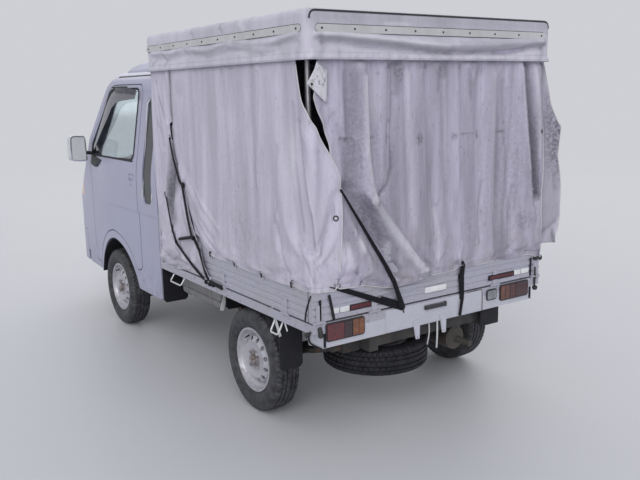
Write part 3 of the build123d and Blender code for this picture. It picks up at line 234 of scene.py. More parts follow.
def silver(name, shine=0.35, light=1.0):
    """Silver body paint with fine flake and dust, and splashes low down."""
    paint = Paint(name, SILVER, 0.34, shine)
    flake = paint.noise(900.0, 1.0)
    cloud = paint.noise(3.0, 4.0)
    # light above 1 paints the piece lighter: painted light where the lamps leave it too dark
    shade = (SILVER[0] * light, SILVER[1] * light, SILVER[2] * light**0.4)
    tone = paint.mix(paint.ramp(flake, 0.35, 0.65), scaled(shade, 0.91), scaled(shade, 1.08))
    tone = paint.over(tone, DUST, cloud, 0.45, 0.75, 0.2)
    splash = paint.ramp(paint.axis("Z"), 0.62, 0.26)
    dirt = paint.times(splash, paint.ramp(paint.noise(14.0, 5.0), 0.38, 0.7))
    tone = paint.mix(paint.times(dirt, 0.4), tone, GRIME)
    tone = paint.over(tone, (0.20, 0.19, 0.20), paint.noise(70.0, 4.0, seed=8.0), 0.66, 0.72, 0.35)
    paint.set("Base Color", tone)
    paint.set("Roughness", paint.ramp(paint.math("ADD", cloud, dirt), 0.3, 1.4, 0.28, 0.7))
    paint.set("Coat Weight", 0.35)
    paint.set("Coat Roughness", 0.12)
    paint.bump(paint.noise(420.0, 2.0), 0.00012, 0.6)
    return paint


def dirty_metal(name, color, roughness, metallic, rust, grime=0.5):
    """Painted or bare metal with rust in patches and grime over it."""
    paint = Paint(name, color, roughness, metallic)
    patches = paint.ramp(paint.noise(22.0, 6.0, roughness=0.65), 0.66 - 0.3 * rust, 0.74 - 0.3 * rust)
    tone = paint.mix(paint.times(patches, min(1.0, rust * 1.6)), color, RUST)
    film = paint.ramp(paint.noise(8.0, 5.0, seed=3.0), 0.4, 0.75, 0.0, grime)
    tone = paint.mix(film, tone, GRIME)
    paint.set("Base Color", tone)
    paint.set("Roughness", paint.ramp(paint.math("ADD", patches, film), 0.0, 1.2, roughness, 0.85))
    paint.bump(paint.noise(140.0, 4.0), 0.0006)
    paint.bump(patches, 0.0004)
    return paint


def rubber(name, color, dust, gloss=0.5):
    """Black rubber, greyed by dust."""
    paint = Paint(name, color, 0.62)
    paint.set("Specular IOR Level", gloss)
    film = paint.ramp(paint.noise(30.0, 5.0), 0.35, 0.75, 0.0, dust)
    paint.set("Base Color", paint.mix(film, color, (0.155, 0.155, 0.175)))
    paint.set("Roughness", paint.ramp(film, 0.0, 1.0, 0.5, 0.9))
    paint.bump(paint.noise(700.0, 3.0), 0.0003)
    return paint


def plastic(name, color, roughness, grain=0.0003):
    """Moulded plastic with a fine grain."""
    paint = Paint(name, color, roughness)
    haze = paint.ramp(paint.noise(12.0, 4.0), 0.4, 0.75, 0.0, 0.35)
    paint.set("Base Color", paint.mix(haze, color, tuple(min(1.0, part * 1.6 + 0.03) for part in color)))
    paint.set("Roughness", paint.ramp(haze, 0.0, 0.35, roughness, min(1.0, roughness + 0.15)))
    paint.bump(paint.cells(900.0), grain)
    return paint


def glass(name, tint):
    """Window glass with a faint film of dust."""
    paint = Paint(name, tint)
    paint.set("Transmission Weight", 1.0)
    paint.set("IOR", GLASS_IOR)
    paint.set("Roughness", paint.ramp(paint.noise(9.0, 4.0), 0.35, 0.8, 0.02, 0.10))
    paint.bump(paint.noise(3.0, 1.0), 0.0008, 0.3)
    return paint


def smoked(name):
    """Dark see-through plastic, hazed by fine scratches."""
    paint = Paint(name, (0.20, 0.20, 0.23), 0.15)
    haze = paint.ramp(paint.noise(40.0, 5.0, (1.0, 3.0, 1.0)), 0.45, 0.7, 0.0, 0.5)
    paint.set("Base Color", paint.mix(haze, (0.16, 0.16, 0.19), (0.30, 0.30, 0.33)))
    paint.set("Transmission Weight", 0.45)
    paint.set("Roughness", paint.ramp(haze, 0.0, 0.5, 0.08, 0.3))
    return paint


def cab_paint():
    """The cab's silver paint, with black painted into the drip channels over the doors as painted shade in
    them.
    """
    paint = silver("cab_paint")
    across = paint.math("ABSOLUTE", paint.axis("X"))
    # Black in the drip channels: painted shade in the recess
    channel = paint.times(paint.between(across, *DRIP_X), paint.between(paint.axis("Y"), *DRIP_Y))
    channel = paint.times(channel, paint.above(paint.axis("Z"), DRIP_Z))
    before = paint.shader.inputs["Base Color"].links[0].from_socket
    paint.set("Base Color", paint.mix(channel, before, BLACK))
    return paint


def canvas(name, color, stains, streaks=0.35):
    """Coated canvas: weave, crinkles and weather stains, with the painted shade, painted highlight and stains
    that the sheet's own values lay over it.
    """
    paint = Paint(name, color, 0.7)
    streak = paint.noise(9.0, 6.0, (1.0, 1.0, 0.10))
    fine = paint.noise(34.0, 5.0, (1.0, 1.0, 0.16), seed=7.0)
    blotch = paint.noise(2.4, 5.0, seed=5.0)
    speck = paint.noise(70.0, 5.0, (1.0, 1.0, 0.5), seed=2.0)
    fleck = paint.noise(110.0, 4.0, (1.0, 1.0, 0.4), seed=6.0)
    tone = paint.mix(paint.ramp(streak, 0.36, 0.64), scaled(color, 1.0 - 0.55 * streaks),
                     scaled(color, 1.0 + 0.40 * streaks))
    for value, low, high, most, share in (
        (fleck, 0.58, 0.70, 0.5 * streaks, 1.3),
        (fine, 0.52, 0.74, 0.9 * streaks, 0.66),
        (blotch, 0.48, 0.78, 0.35, 0.88),
        (speck, 0.64 - 0.05 * stains, 0.74 - 0.05 * stains, min(1.0, 0.2 + 0.6 * stains), 0.55),
    ):
        tone = paint.over(tone, scaled(color, share), value, low, high, most)
    low = paint.ramp(paint.axis("Z"), 1.10, 0.74)
    mould = paint.times(low, paint.ramp(paint.noise(12.0, 6.0, seed=9.0), 0.46, 0.70))
    tone = paint.mix(paint.times(mould, 0.6 * stains), tone, (0.30, 0.27, 0.235))
    broken = paint.noise(60.0, 6.0, roughness=0.7, seed=3.0)
    # The sheet's values: painted shade along the creases, painted highlight, and stains mixed with painted
    # shade
    for name, least, toward in (
        ("dark", 0.75, STAIN_AND_SHADE_TONE),
        ("pale", 0.55, HIGHLIGHT_TONE),
        ("stain", 0.15, STAIN_AND_SHADE_TONE),
    ):
        mask = paint.times(paint.shade_and_stains(name), paint.ramp(broken, 0.40, 0.60, least, 1.0))
        tone = paint.mix(mask, tone, toward)
    paint.set("Base Color", tone)
    paint.set("Roughness", paint.ramp(blotch, 0.3, 0.8, 0.58, 0.80))
    paint.set("Sheen Weight", 0.12)
    paint.bump(paint.noise(13.0, 4.0, (1.0, 1.0, 0.45)), 0.008, 0.5)
    paint.bump(paint.noise(30.0, 4.0, (1.0, 1.0, 0.14), seed=11.0), 0.004, 0.6)
    paint.bump(paint.noise(80.0, 5.0), 0.0020, 0.8)
    paint.bump(paint.math("ADD", paint.wave("X", 620.0), paint.wave("Z", 620.0)), 0.0002, 0.4)
    return paint


def tail_lamp_lenses():
    """Red, orange and clear fluted lenses in black frames, as the lamps stand along the rear."""
    paint = Paint("tail_lamps", BLACK, 0.22)
    x = paint.axis("X")
    tone = BLACK
    for low, high, color in (
        (0.571, 0.700, srgb(104, 30, 38)),
        (0.528, 0.567, srgb(50, 24, 32)),
        (0.440, 0.522, srgb(134, 76, 46)),
        (-0.468, -0.420, srgb(122, 68, 44)),
        (-0.504, -0.472, srgb(104, 56, 44)),
        (-0.548, -0.508, srgb(88, 32, 38)),
        (-0.700, -0.552, srgb(70, 28, 36)),
        (-0.420, -0.300, srgb(140, 142, 150)),
    ):
        tone = paint.mix(paint.between(x, low, high), tone, color)
    bulb = paint.ramp(paint.noise(30.0, 4.0, seed=2.0), 0.36, 0.66)
    tone = paint.mix(paint.times(bulb, 0.45), tone, BLACK)
    lens = paint.above(paint.axis("Y"), LENS_Y)
    plate_lamp = paint.between(x, -PLATE_LAMP_HALF, PLATE_LAMP_HALF)
    tone = paint.mix(paint.math("SUBTRACT", 1.0, lens), tone, BLACK)
    tone = paint.mix(plate_lamp, tone, (0.008, 0.008, 0.011))
    paint.set("Base Color", tone)
    paint.set("Roughness", paint.ramp(lens, 0.0, 1.0, 0.55, 0.16))
    paint.set("Coat Weight", 0.6)
    paint.set("Coat Roughness", 0.05)
    paint.bump(paint.times(lens, paint.wave("X", 210.0)), 0.0008, 0.8)
    paint.bump(paint.times(lens, paint.wave("Z", 105.0)), 0.0006, 0.5)
    return paint


def wheel_paint():
    """Silver wheel paint with brake dust, and rust about the hub."""
    paint = Paint("wheel_steel", (0.55, 0.55, 0.57), 0.38, 0.3)
    z = paint.math("SUBTRACT", paint.axis("Z"), AXLE_Z)
    nearest = None
    for axle in (REAR_AXLE_Y, FRONT_AXLE_Y):
        y = paint.math("SUBTRACT", paint.axis("Y"), axle)
        reach = paint.math("ADD", paint.times(y, y), paint.times(z, z))
        nearest = paint.math("MINIMUM", nearest, reach) if nearest else reach
    radius = paint.math("SQRT", nearest)
    mottle = paint.noise(45.0, 6.0, roughness=0.7)
    hub = paint.times(paint.ramp(radius, 0.062, 0.036), paint.ramp(mottle, 0.30, 0.60))
    dust = paint.times(paint.ramp(radius, 0.10, 0.16), paint.ramp(mottle, 0.42, 0.70, 0.0, 0.55))
    tone = paint.mix(dust, (0.46, 0.455, 0.50), (0.22, 0.20, 0.19))
    tone = paint.over(tone, (0.24, 0.17, 0.12), mottle, 0.60, 0.72, 0.5)
    tone = paint.mix(paint.times(hub, 0.9), tone, (0.10, 0.055, 0.035))
    paint.set("Base Color", tone)
    paint.set("Roughness", paint.ramp(paint.math("ADD", hub, dust), 0.0, 1.0, 0.34, 0.85))
    paint.bump(mottle, 0.0006)
    return paint


def bed_metal():
    """The bed's paint, with its white wires, rust at its foot and scuffs."""
    paint = Paint("bed_metal", SILVER, 0.4, 0.3)
    cloud = paint.noise(4.0, 4.0)
    tone = paint.over((0.435, 0.43, 0.515), DUST, cloud, 0.40, 0.75, 0.4)
    foot = paint.ramp(paint.axis("Z"), 0.66, 0.56)
    spots = paint.ramp(paint.noise(34.0, 6.0, roughness=0.7, seed=4.0), 0.56, 0.66)
    tone = paint.mix(paint.times(paint.times(foot, spots), 0.6), tone, RUST)
    scuff = paint.ramp(paint.noise(50.0, 5.0, (1.0, 0.25, 2.0), seed=6.0), 0.60, 0.70)
    tone = paint.mix(paint.times(scuff, 0.5), tone, (0.22, 0.215, 0.22))
    wide = paint.above(paint.math("ABSOLUTE", paint.axis("X")), HALF_WIDTH + 0.001)
    wire = paint.times(wide, paint.above(WIRE_TOP_Z, paint.axis("Z")))
    tone = paint.mix(wire, tone, (0.62, 0.62, 0.63))
    paint.set("Base Color", tone)
    paint.set("Roughness", paint.ramp(paint.math("ADD", cloud, scuff), 0.3, 1.4, 0.34, 0.75))
    paint.set("Coat Weight", 0.2)
    paint.set("Coat Roughness", 0.2)
    paint.bump(paint.noise(5.0, 2.0), 0.004)
    paint.bump(paint.noise(260.0, 3.0), 0.0002, 0.6)
    return paint


def cab_windows():
    """Window glass, with dark smoked film on the quarter windows behind the doors."""
    paint = Paint("cab_windows", (0.80, 0.86, 0.88), 0.02)
    side = paint.above(paint.math("ABSOLUTE", paint.axis("X")), QUARTER_WINDOW_X)
    dark = paint.times(side, paint.above(paint.axis("Y"), QUARTER_WINDOW_Y))
    paint.set("Base Color", paint.mix(dark, (0.72, 0.78, 0.80), (0.05, 0.055, 0.06)))
    paint.set("Transmission Weight", paint.ramp(dark, 0.0, 1.0, 1.0, 0.25))
    paint.set("Roughness", paint.ramp(paint.noise(9.0, 4.0), 0.35, 0.8, 0.02, 0.08))
    paint.set("IOR", GLASS_IOR)
    return paint


def headlamp_glass():
    """Clear fluted headlamps over bright reflectors, with orange-white turn lamps at their outer ends."""
    paint = Paint("headlamps", (0.62, 0.63, 0.65), 0.12, 0.35)
    across = paint.math("ABSOLUTE", paint.axis("X"))
    turn = paint.above(across, TURN_LAMP_X)
    bowl = paint.ramp(paint.noise(9.0, 1.0), 0.35, 0.65)
    tone = paint.mix(bowl, (0.40, 0.41, 0.44), (0.74, 0.75, 0.77))
    paint.set("Base Color", paint.mix(turn, tone, srgb(214, 150, 92)))
    paint.set("Coat Weight", 1.0)
    paint.set("Coat Roughness", 0.03)
    paint.bump(paint.wave("X", 85.0), 0.0015, 0.7)
    paint.bump(paint.wave("Z", 40.0), 0.001, 0.4)
    return paint


def mirror_parts():
    """Pale mirror housings with their glass on the rear face."""
    paint = Paint("mirrors", (0.58, 0.59, 0.62), 0.3)
    glass_side = paint.above(paint.axis("Y"), MIRROR_GLASS_Y)
    outer = paint.above(paint.math("ABSOLUTE", paint.axis("X")), MIRROR_HOUSING_X)
    high = paint.times(outer, paint.above(paint.axis("Z"), MIRROR_HOUSING_Z))
    mirror = paint.times(glass_side, high)
    arm = paint.math("SUBTRACT", 1.0, outer)
    tone = paint.over((0.60, 0.61, 0.64), (0.46, 0.46, 0.48), paint.noise(25.0, 4.0), 0.4, 0.7, 0.3)
    tone = paint.mix(arm, tone, (0.03, 0.03, 0.033))
    paint.set("Base Color", paint.mix(mirror, tone, (0.75, 0.77, 0.80)))
    paint.set("Metallic", mirror)
    paint.set("Roughness", paint.ramp(mirror, 0.0, 1.0, 0.35, 0.03))
    paint.bump(paint.noise(420.0, 2.0), 0.00012, 0.6)
    return paint


CANVAS_TONE = srgb(191, 187, 203)
REAR_TONE = srgb(174, 169, 187)
CAP_TONE = srgb(196, 193, 206)
# Colours that stains and painted shade, and painted highlight, turn the canvas towards
STAIN_AND_SHADE_TONE = (0.085, 0.085, 0.105)
HIGHLIGHT_TONE = (0.80, 0.79, 0.84)

PAINTS = {
    "paint": silver("silver_paint"),
    # The valance's paint, painted lighter than the body's: painted light on the low rear face
    "valance": silver("valance_paint_lightened", 0.10, 1.30),
    "cab_paint": cab_paint(),
    "underbody": dirty_metal("underbody_black", (0.035, 0.035, 0.037), 0.6, 0.2, 0.25, 0.4),
    "cast": dirty_metal("cast_black", (0.05, 0.048, 0.046), 0.65, 0.5, 0.5, 0.4),
    # The exhaust's steel is nearly black: painted shade under the bed, over its rust and grime
    "exhaust": dirty_metal("exhaust_steel", (0.075, 0.068, 0.062), 0.6, 0.6, 0.3),
    "tank": dirty_metal("tank_steel", (0.24, 0.24, 0.25), 0.55, 0.3, 0.2),
    "aluminium": dirty_metal("aluminium", (0.62, 0.62, 0.63), 0.4, 0.45, 0.0, 0.25),
    "dark_steel": dirty_metal("dark_steel", (0.05, 0.05, 0.05), 0.45, 0.8, 0.2),
    "hoop": dirty_metal("hoop_steel", (0.42, 0.42, 0.43), 0.4, 0.8, 0.25, 0.3),
    "wheel": wheel_paint(),
    "tail_lamps": tail_lamp_lenses(),
    "bed_metal": bed_metal(),
    "cab_windows": cab_windows(),
    "headlamps": headlamp_glass(),
    "mirrors": mirror_parts(),
    "rubber": rubber("black_rubber", BLACK, 0.04, 0.3),
    "strap": rubber("strap_rubber", (0.006, 0.006, 0.010), 0.02, 0.2),
    "tyre": rubber("tyre_rubber", (0.016, 0.016, 0.019), 0.42),
    # The spare's rubber is darker and less dusty than the wheels' tyres: painted shade under the bed
    "spare_tyre": rubber("spare_tyre_rubber", (0.007, 0.007, 0.010), 0.10, 0.3),
    "black_plastic": plastic("black_plastic", (0.022, 0.022, 0.024), 0.5),
    "grey_plastic": plastic("grey_plastic", (0.10, 0.105, 0.125), 0.6),
    "glass": glass("clear_glass", (0.80, 0.86, 0.88)),
    "canvas": canvas("canvas", CANVAS_TONE, 0.5, 0.30),
    "rear_canvas": canvas("rear_canvas", REAR_TONE, 0.7, 0.55),
    "cap": canvas("cap_canvas", CAP_TONE, 0.1, 0.22),
    "speckled": canvas("speckled_canvas", srgb(205, 204, 212), 2.2, 0.5),
    "piping": plastic("white_piping", srgb(196, 195, 198), 0.55),
    "thread": plastic("thread", srgb(120, 118, 126), 0.7),
    "vinyl": plastic("seat_vinyl", (0.06, 0.065, 0.08), 0.55),
    "white": dirty_metal("white_paint", (0.60, 0.61, 0.63), 0.4, 0.0, 0.12, 0.25),
    "smoke": smoked("smoked_visor"),
    "reflector_white": plastic("white_reflector", (0.70, 0.71, 0.73), 0.25, 0.0006),
    "reflector_red": plastic("red_reflector", (0.085, 0.010, 0.018), 0.25, 0.0006),
    "chrome": dirty_metal("bright_steel", (0.55, 0.55, 0.56), 0.22, 0.9, 0.05, 0.2),
}
MATERIALS = {key: paint.material for key, paint in PAINTS.items()}

CAD_MATERIALS = {
    "underbody": "chassis_frame",
    "cab_paint": "cab_shell",
    "paint": "cab_floor front_bumper left_door right_door",
    "cab_windows": "cab_glass",
    "glass": "left_door_glass right_door_glass",
    "headlamps": "headlamps",
    "mirrors": "left_mirror right_mirror",
    "grey_plastic": "dashboard steering_wheel",
    "vinyl": "seats",
    "bed_metal": "load_bed left_gate right_gate tailgate",
    "valance": "rear_valance",
    "tail_lamps": "tail_lamps",
    "hoop": "canopy_hoops canopy_rails",
    "cap": "canopy_roof",
    "canvas": "left_curtain right_curtain rear_curtain",
    "rubber": "cover_straps mud_flaps",
    "cast": "rear_axle engine propeller_shaft left_knuckle right_knuckle steering_rack",
    "exhaust": "exhaust",
    "tank": "fuel_tank",
    "wheel": "spare_wheel front_left_rim front_right_rim rear_left_rim rear_right_rim",
    "tyre": "spare_tyre front_left_tyre front_right_tyre rear_left_tyre rear_right_tyre",
}


def dress_cad():
    """Gives every CAD node its material."""
    for material, nodes in CAD_MATERIALS.items():
        for node in nodes.split():
            mesh = NODES[node].data
            mesh.materials.clear()
            mesh.materials.append(MATERIALS[material])


dress_cad()


# Pieces
SHARP_ANGLE = math.radians(38.0)


def add_piece(name, vertices, faces, material):
    """A mesh object from points and faces in the frame's metres."""
    mesh = bpy.data.meshes.new(name)
    mesh.from_pydata([tuple(v) for v in vertices], [], faces)
    mesh.materials.append(MATERIALS[material])
    mesh.polygons.foreach_set("use_smooth", [True] * len(mesh.polygons))
    mesh.update()
    piece = bpy.data.objects.new(name, mesh)
    SCENE.collection.objects.link(piece)
    return piece


def face_outwards(piece):
    """Turns all of a closed piece's faces outwards."""
    form = bmesh.new()
    form.from_mesh(piece.data)
    bmesh.ops.recalc_face_normals(form, faces=form.faces)
    form.to_mesh(piece.data)
    form.free()


def spread(start, end, steps):
    """Places spread evenly from start to end."""
    return [tuple(a + (b - a) * k / steps for a, b in zip(start, end)) for k in range(steps + 1)]


def smooth_line(points, steps=6):
    """Points along a smooth curve through the given ones."""
    line = [Vector(p) for p in points]
    ends = [line[0] * 2 - line[1]] + line + [line[-1] * 2 - line[-2]]
    curve = []
    for a, b, c, d in zip(ends, ends[1:], ends[2:], ends[3:]):
        for step in range(steps):
            t = step / steps
            curve.append(0.5 * (2 * b + (c - a) * t + (2 * a - 5 * b + 4 * c - d) * t**2
                                + (3 * b - a - 3 * c + d) * t**3))
    return curve + [line[-1]]


def rounded(corners, radius, steps=4):
    """An outline with its corners rounded off."""
    outline = []
    count = len(corners)
    for k in range(count):
        here = Vector(corners[k])
        before = Vector(corners[k - 1]) - here
        after = Vector(corners[(k + 1) % count]) - here
        reach = min(radius, before.length * 0.45, after.length * 0.45)
        start = here + before.normalized() * reach
        end = here + after.normalized() * reach
        for step in range(steps + 1):
            t = step / steps
            outline.append(start * (1 - t) ** 2 + here * (2 * t * (1 - t)) + end * t**2)
    return outline


def shrunk(outline, depth):
    """An outline moved inwards by depth."""
    count = len(outline)
    area = sum(outline[k - 1].x * outline[k].y - outline[k].x * outline[k - 1].y for k in range(count))
    turn = 1.0 if area > 0 else -1.0
    moved = []
    for k in range(count):
        along = (outline[(k + 1) % count] - outline[k - 1]).normalized()
        moved.append(outline[k] + Vector((-along.y, along.x)) * depth * turn)
    return moved


def circle(place, across, other, radius, steps):
    """Points evenly round a circle in the plane of across and other."""
    points = []
    for step in range(steps):
        angle = math.tau * step / steps
        points.append(place + (across * math.cos(angle) + other * math.sin(angle)) * radius)
    return points


class Shape:
    """Points and faces that are gathered into one mesh."""

    def __init__(self):
        self.points = []
        self.faces = []

    def skin(self, rings, round_trip=False):
        """Joins closed rings of equally many points, with round_trip the last to the first, else capped."""
        first = len(self.points)
        count = len(rings[0])
        for ring in rings:
            self.points += [Vector(point) for point in ring]
        for j in range(len(rings) if round_trip else len(rings) - 1):
            low = first + j * count
            high = first + (j + 1) % len(rings) * count
            for i in range(count):
                k = (i + 1) % count
                self.faces.append((low + i, low + k, high + k, high + i))
        if not round_trip:
            self.faces.append(tuple(first + i for i in reversed(range(count))))
            self.faces.append(tuple(first + (len(rings) - 1) * count + i for i in range(count)))
        return self

    def tube(self, points, radius, sides=8):
        """A round bar along points; radius is one number, or one for each point."""
        line = [Vector(point) for point in points]
        side = (line[1] - line[0]).orthogonal().normalized()
        rings = []
        for k, point in enumerate(line):
            along = (line[min(k + 1, len(line) - 1)] - line[max(k - 1, 0)]).normalized()
            side = (side - along * side.dot(along)).normalized()
            other = along.cross(side)
            size = radius[k] if isinstance(radius, (list, tuple)) else radius
            rings.append(circle(point, side, other, size, sides))
        return self.skin(rings)

    def ribbon(self, points, outs, width, thick):
        """A flat band on points, with eased edges; outs and width are one for all points, or one for each."""
        points = [Vector(point) for point in points]
        if isinstance(outs, Vector):
            outs = [outs] * len(points)
        rings = []
        for k, point in enumerate(points):
            half = (width[k] if isinstance(width, list) else width) / 2
            ease = min(thick, half) * 0.4
            section = ((-half + ease, 0), (half - ease, 0), (half, ease), (half, thick - ease),
                       (half - ease, thick), (-half + ease, thick), (-half, thick - ease), (-half, ease))
            along = (points[min(k + 1, len(points) - 1)] - points[max(k - 1, 0)]).normalized()
            out = (outs[k] - along * outs[k].dot(along)).normalized()
            across = along.cross(out)
            rings.append([point + across * a + out * b for a, b in section])
        return self.skin(rings)

    def slab(self, outline, place, depth, ease=0.001):
        """A plate with an eased front edge; place turns (a, b, how far it stands out) into a point."""
        levels = ((0.0, 0.0), (depth - ease, 0.0), (depth - ease * 0.3, ease * 0.3), (depth, ease))
        return self.skin([[place(p.x, p.y, out) for p in shrunk(outline, inside)] for out, inside in levels])

    def dome(self, place, out, radius, height, sides=10):
        """A low round head, such as a screw's."""
        out = Vector(out).normalized()
        across = out.orthogonal().normalized()
        other = out.cross(across)
        rings = []
        for share, rise in ((1.0, -0.2), (1.0, 0.45), (0.8, 0.85), (0.4, 1.0)):
            rings.append(circle(Vector(place) + out * height * rise, across, other, radius * share, sides))
        return self.skin(rings)

    def build(self, name, material, body="chassis"):
        """The finished piece, riding on its body."""
        piece = add_piece(name, self.points, self.faces, material)
        face_outwards(piece)
        piece.data.set_sharp_from_angle(angle=SHARP_ANGLE)
        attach(piece, body)
        return piece


def surface(*names):
    """What rays meet: the surfaces of pieces and of the frame's nodes."""
    points = []
    faces = []
    for name in names:
        piece = NODES[name] if name in NODES else bpy.data.objects[name]
        first = len(points)
        points += [piece.matrix_world @ vertex.co for vertex in piece.data.vertices]
        faces += [[first + i for i in polygon.vertices] for polygon in piece.data.polygons]
    return BVHTree.FromPolygons(points, faces)


# Views that rays come from: (start of the ray to a place, its direction, its reach where it meets nothing)
VIEWS = {
    "left": (lambda a, b: (1.5, a, b), (-1, 0, 0), 1.5 - SIDE_X),
    "rear": (lambda a, b: (a, 2.5, b), (0, -1, 0), 2.5 - REAR_SHEET_Y),
    "front": (lambda a, b: (a, -2.5, b), (0, 1, 0), 0.9),
}


def seen_from(side, a, b):
    """Start and direction of the ray that meets place (a, b) from a side of the truck."""
    start, direction, _ = VIEWS[side]
    return Vector(start(a, b)), Vector(direction)


def lay(tree, side, places, lift=0.0):
    """Points and outward normals where places, seen from a side, meet the surface."""
    met = []
    for a, b in places:
        start, direction = seen_from(side, a, b)
        hit, normal, _, reach = tree.ray_cast(start, direction)
        if hit is not None and normal.dot(direction) > 0:
            normal = -normal
        met.append((start, direction, reach, normal))
    known = [k for k, row in enumerate(met) if row[2] is not None]
    points = []
    outs = []
    for k, (start, direction, reach, normal) in enumerate(met):
        if reach is None:
            reach = met[min(known, key=lambda other: abs(other - k))][2] if known else VIEWS[side][2]
            normal = -direction
        points.append(start + direction * reach + normal * lift)
        outs.append(normal)
    return points, outs


CANVAS_THICK = 0.0016


def grid_faces(columns, rows, closed=False):
    """Quads of a grid of columns by rows points; closed joins the last column to the first."""
    faces = []
    spans = columns if closed else columns - 1
    for i in range(spans):
        following = (i + 1) % columns
        for j in range(rows - 1):
            faces.append((i * rows + j, following * rows + j, following * rows + j + 1, i * rows + j + 1))
    return faces


def thicken(piece, offset):
    """Gives a sheet its thickness, inwards for an offset of -1 and to both sides for 0."""
    body = piece.modifiers.new("thickness", "SOLIDIFY")
    body.thickness = CANVAS_THICK
    body.offset = offset


def cloud(places, scale, seed):
    """Smooth noise from about -1 to 1 at each place, scale cycles a metre."""
    return np.array([noise.noise(Vector((a * scale, b * scale, seed))) for a, b in places])


def away_from(places, line):
    """Distance of each place from a line of points."""
    best = np.full(len(places), np.inf)
    for a, b in zip(line, line[1:]):
        start = np.array(a)
        run = np.array(b) - start
        along = np.clip((places - start) @ run / (run @ run), 0.0, 1.0)
        best = np.minimum(best, np.linalg.norm(places - start - along[:, None] * run, axis=1))
    return best


def folds_at(places, folds):
    """Height of the folds at each place; each fold is (height, half width, its line of points)."""
    height = np.zeros(len(places))
    for rise, width, line in folds:
        height += rise * np.exp(-(away_from(places, line) / width) ** 2)
    return height


WAVER_SCALE = 6.0
WAVER = 0.010
LEAST_CREASE = 0.012


def relief_shade_and_stains(places, stains_and_shading, creases_and_shading):
    """Relief of the creases at each place, with the painted shade and painted highlight along them, and the
    stains, painted shade and painted highlight of the marks.
    """
    waver = cloud(places, WAVER_SCALE, 17.0)
    crooked = places + np.stack([waver, waver * 0.5], axis=1) * WAVER
    relief = np.zeros(len(places))
    clean = {name: np.ones(len(places)) for name in ("dark", "pale", "stain")}
    # Creases paint shade below zero and highlight above it; marks add stains with painted shade, and painted
    # highlight below zero
    for line, half_width, rise, shade in creases_and_shading:
        mask = np.maximum(0.0, 1.0 - away_from(crooked, line) / max(half_width, LEAST_CREASE))
        relief += rise * mask
        clean["dark" if shade < 0 else "pale"] *= 1.0 - mask * abs(shade)
    for place, height, half_width, half_height, strength in stains_and_shading:
        run = (crooked[:, 0] - place) / half_width
        climb = (crooked[:, 1] - height) / half_height
        mask = np.maximum(0.0, 1.0 - run**2 - climb**2)
        clean["stain" if strength > 0 else "pale"] *= 1.0 - mask * abs(strength)
    return relief, {name: 1.0 - value for name, value in clean.items()}


def note(piece, values):
    """Keeps values by name on a piece's points, for its material."""
    for name, numbers in values.items():
        kept = piece.data.attributes.new(name, "FLOAT", "POINT")
        kept.data.foreach_set("value", np.asarray(numbers, dtype=np.float32))


# Cap: one sheet over the hoops, with a skirt all round
CAP_ROUND = 0.030
CAP_EDGE_ROUND = 0.028
CAP_STEPS = (140, 124, 140, 124)
ARC_STEPS = 6
ARC_SHADED = 5
SKIRT_ROWS = 24
SKIRT_ROW = 0.0075
TOP_ROW = 0.02
CAP_SAG = 0.006
CAP_BAYS = 3.0
CAP_DROP = 0.004
CAP_MIDDLE = 0.05
FINE_WAVE = 0.0035
BATTEN_LOW = 1.845
BATTEN_HIGH = 1.877
REAR_SKIRT_FOLDS = [
    (0.026, 0.017, [(0.69, 1.836), (0.45, 1.824), (0.2, 1.808), (0.0, 1.802), (-0.3, 1.809), (-0.69, 1.834)]),
    (-0.018, 0.011, [(0.66, 1.802), (0.3, 1.779), (0.0, 1.767), (-0.25, 1.771), (-0.5, 1.785),
                     (-0.7, 1.803)]),
    (0.010, 0.016, [(0.74, 1.742), (0.2, 1.738), (-0.3, 1.742), (-0.74, 1.738)]),
    (0.006, 0.022, [(0.52, 1.80), (0.46, 1.745)]),
    (0.006, 0.020, [(0.12, 1.79), (0.10, 1.745)]),
    (0.006, 0.020, [(-0.33, 1.79), (-0.36, 1.745)]),
]
SIDE_SKIRT_FOLDS = [
    (0.012, 0.018, [(0.10, 1.838), (0.33, 1.820), (0.58, 1.838)]),
    (0.012, 0.018, [(0.58, 1.838), (0.82, 1.812), (1.06, 1.838)]),
    (0.017, 0.021, [(1.06, 1.838), (1.34, 1.802), (1.64, 1.838)]),
    (-0.008, 0.014, [(0.12, 1.806), (0.34, 1.786), (0.58, 1.806), (0.82, 1.780), (1.06, 1.802), (1.36, 1.770),
                     (1.64, 1.802)]),
    (0.006, 0.018, [(0.05, 1.742), (0.9, 1.745), (1.68, 1.738)]),
    (0.007, 0.020, [(0.22, 1.90), (0.24, 1.78)]),
    (0.005, 0.022, [(1.06, 1.83), (1.02, 1.75)]),
]


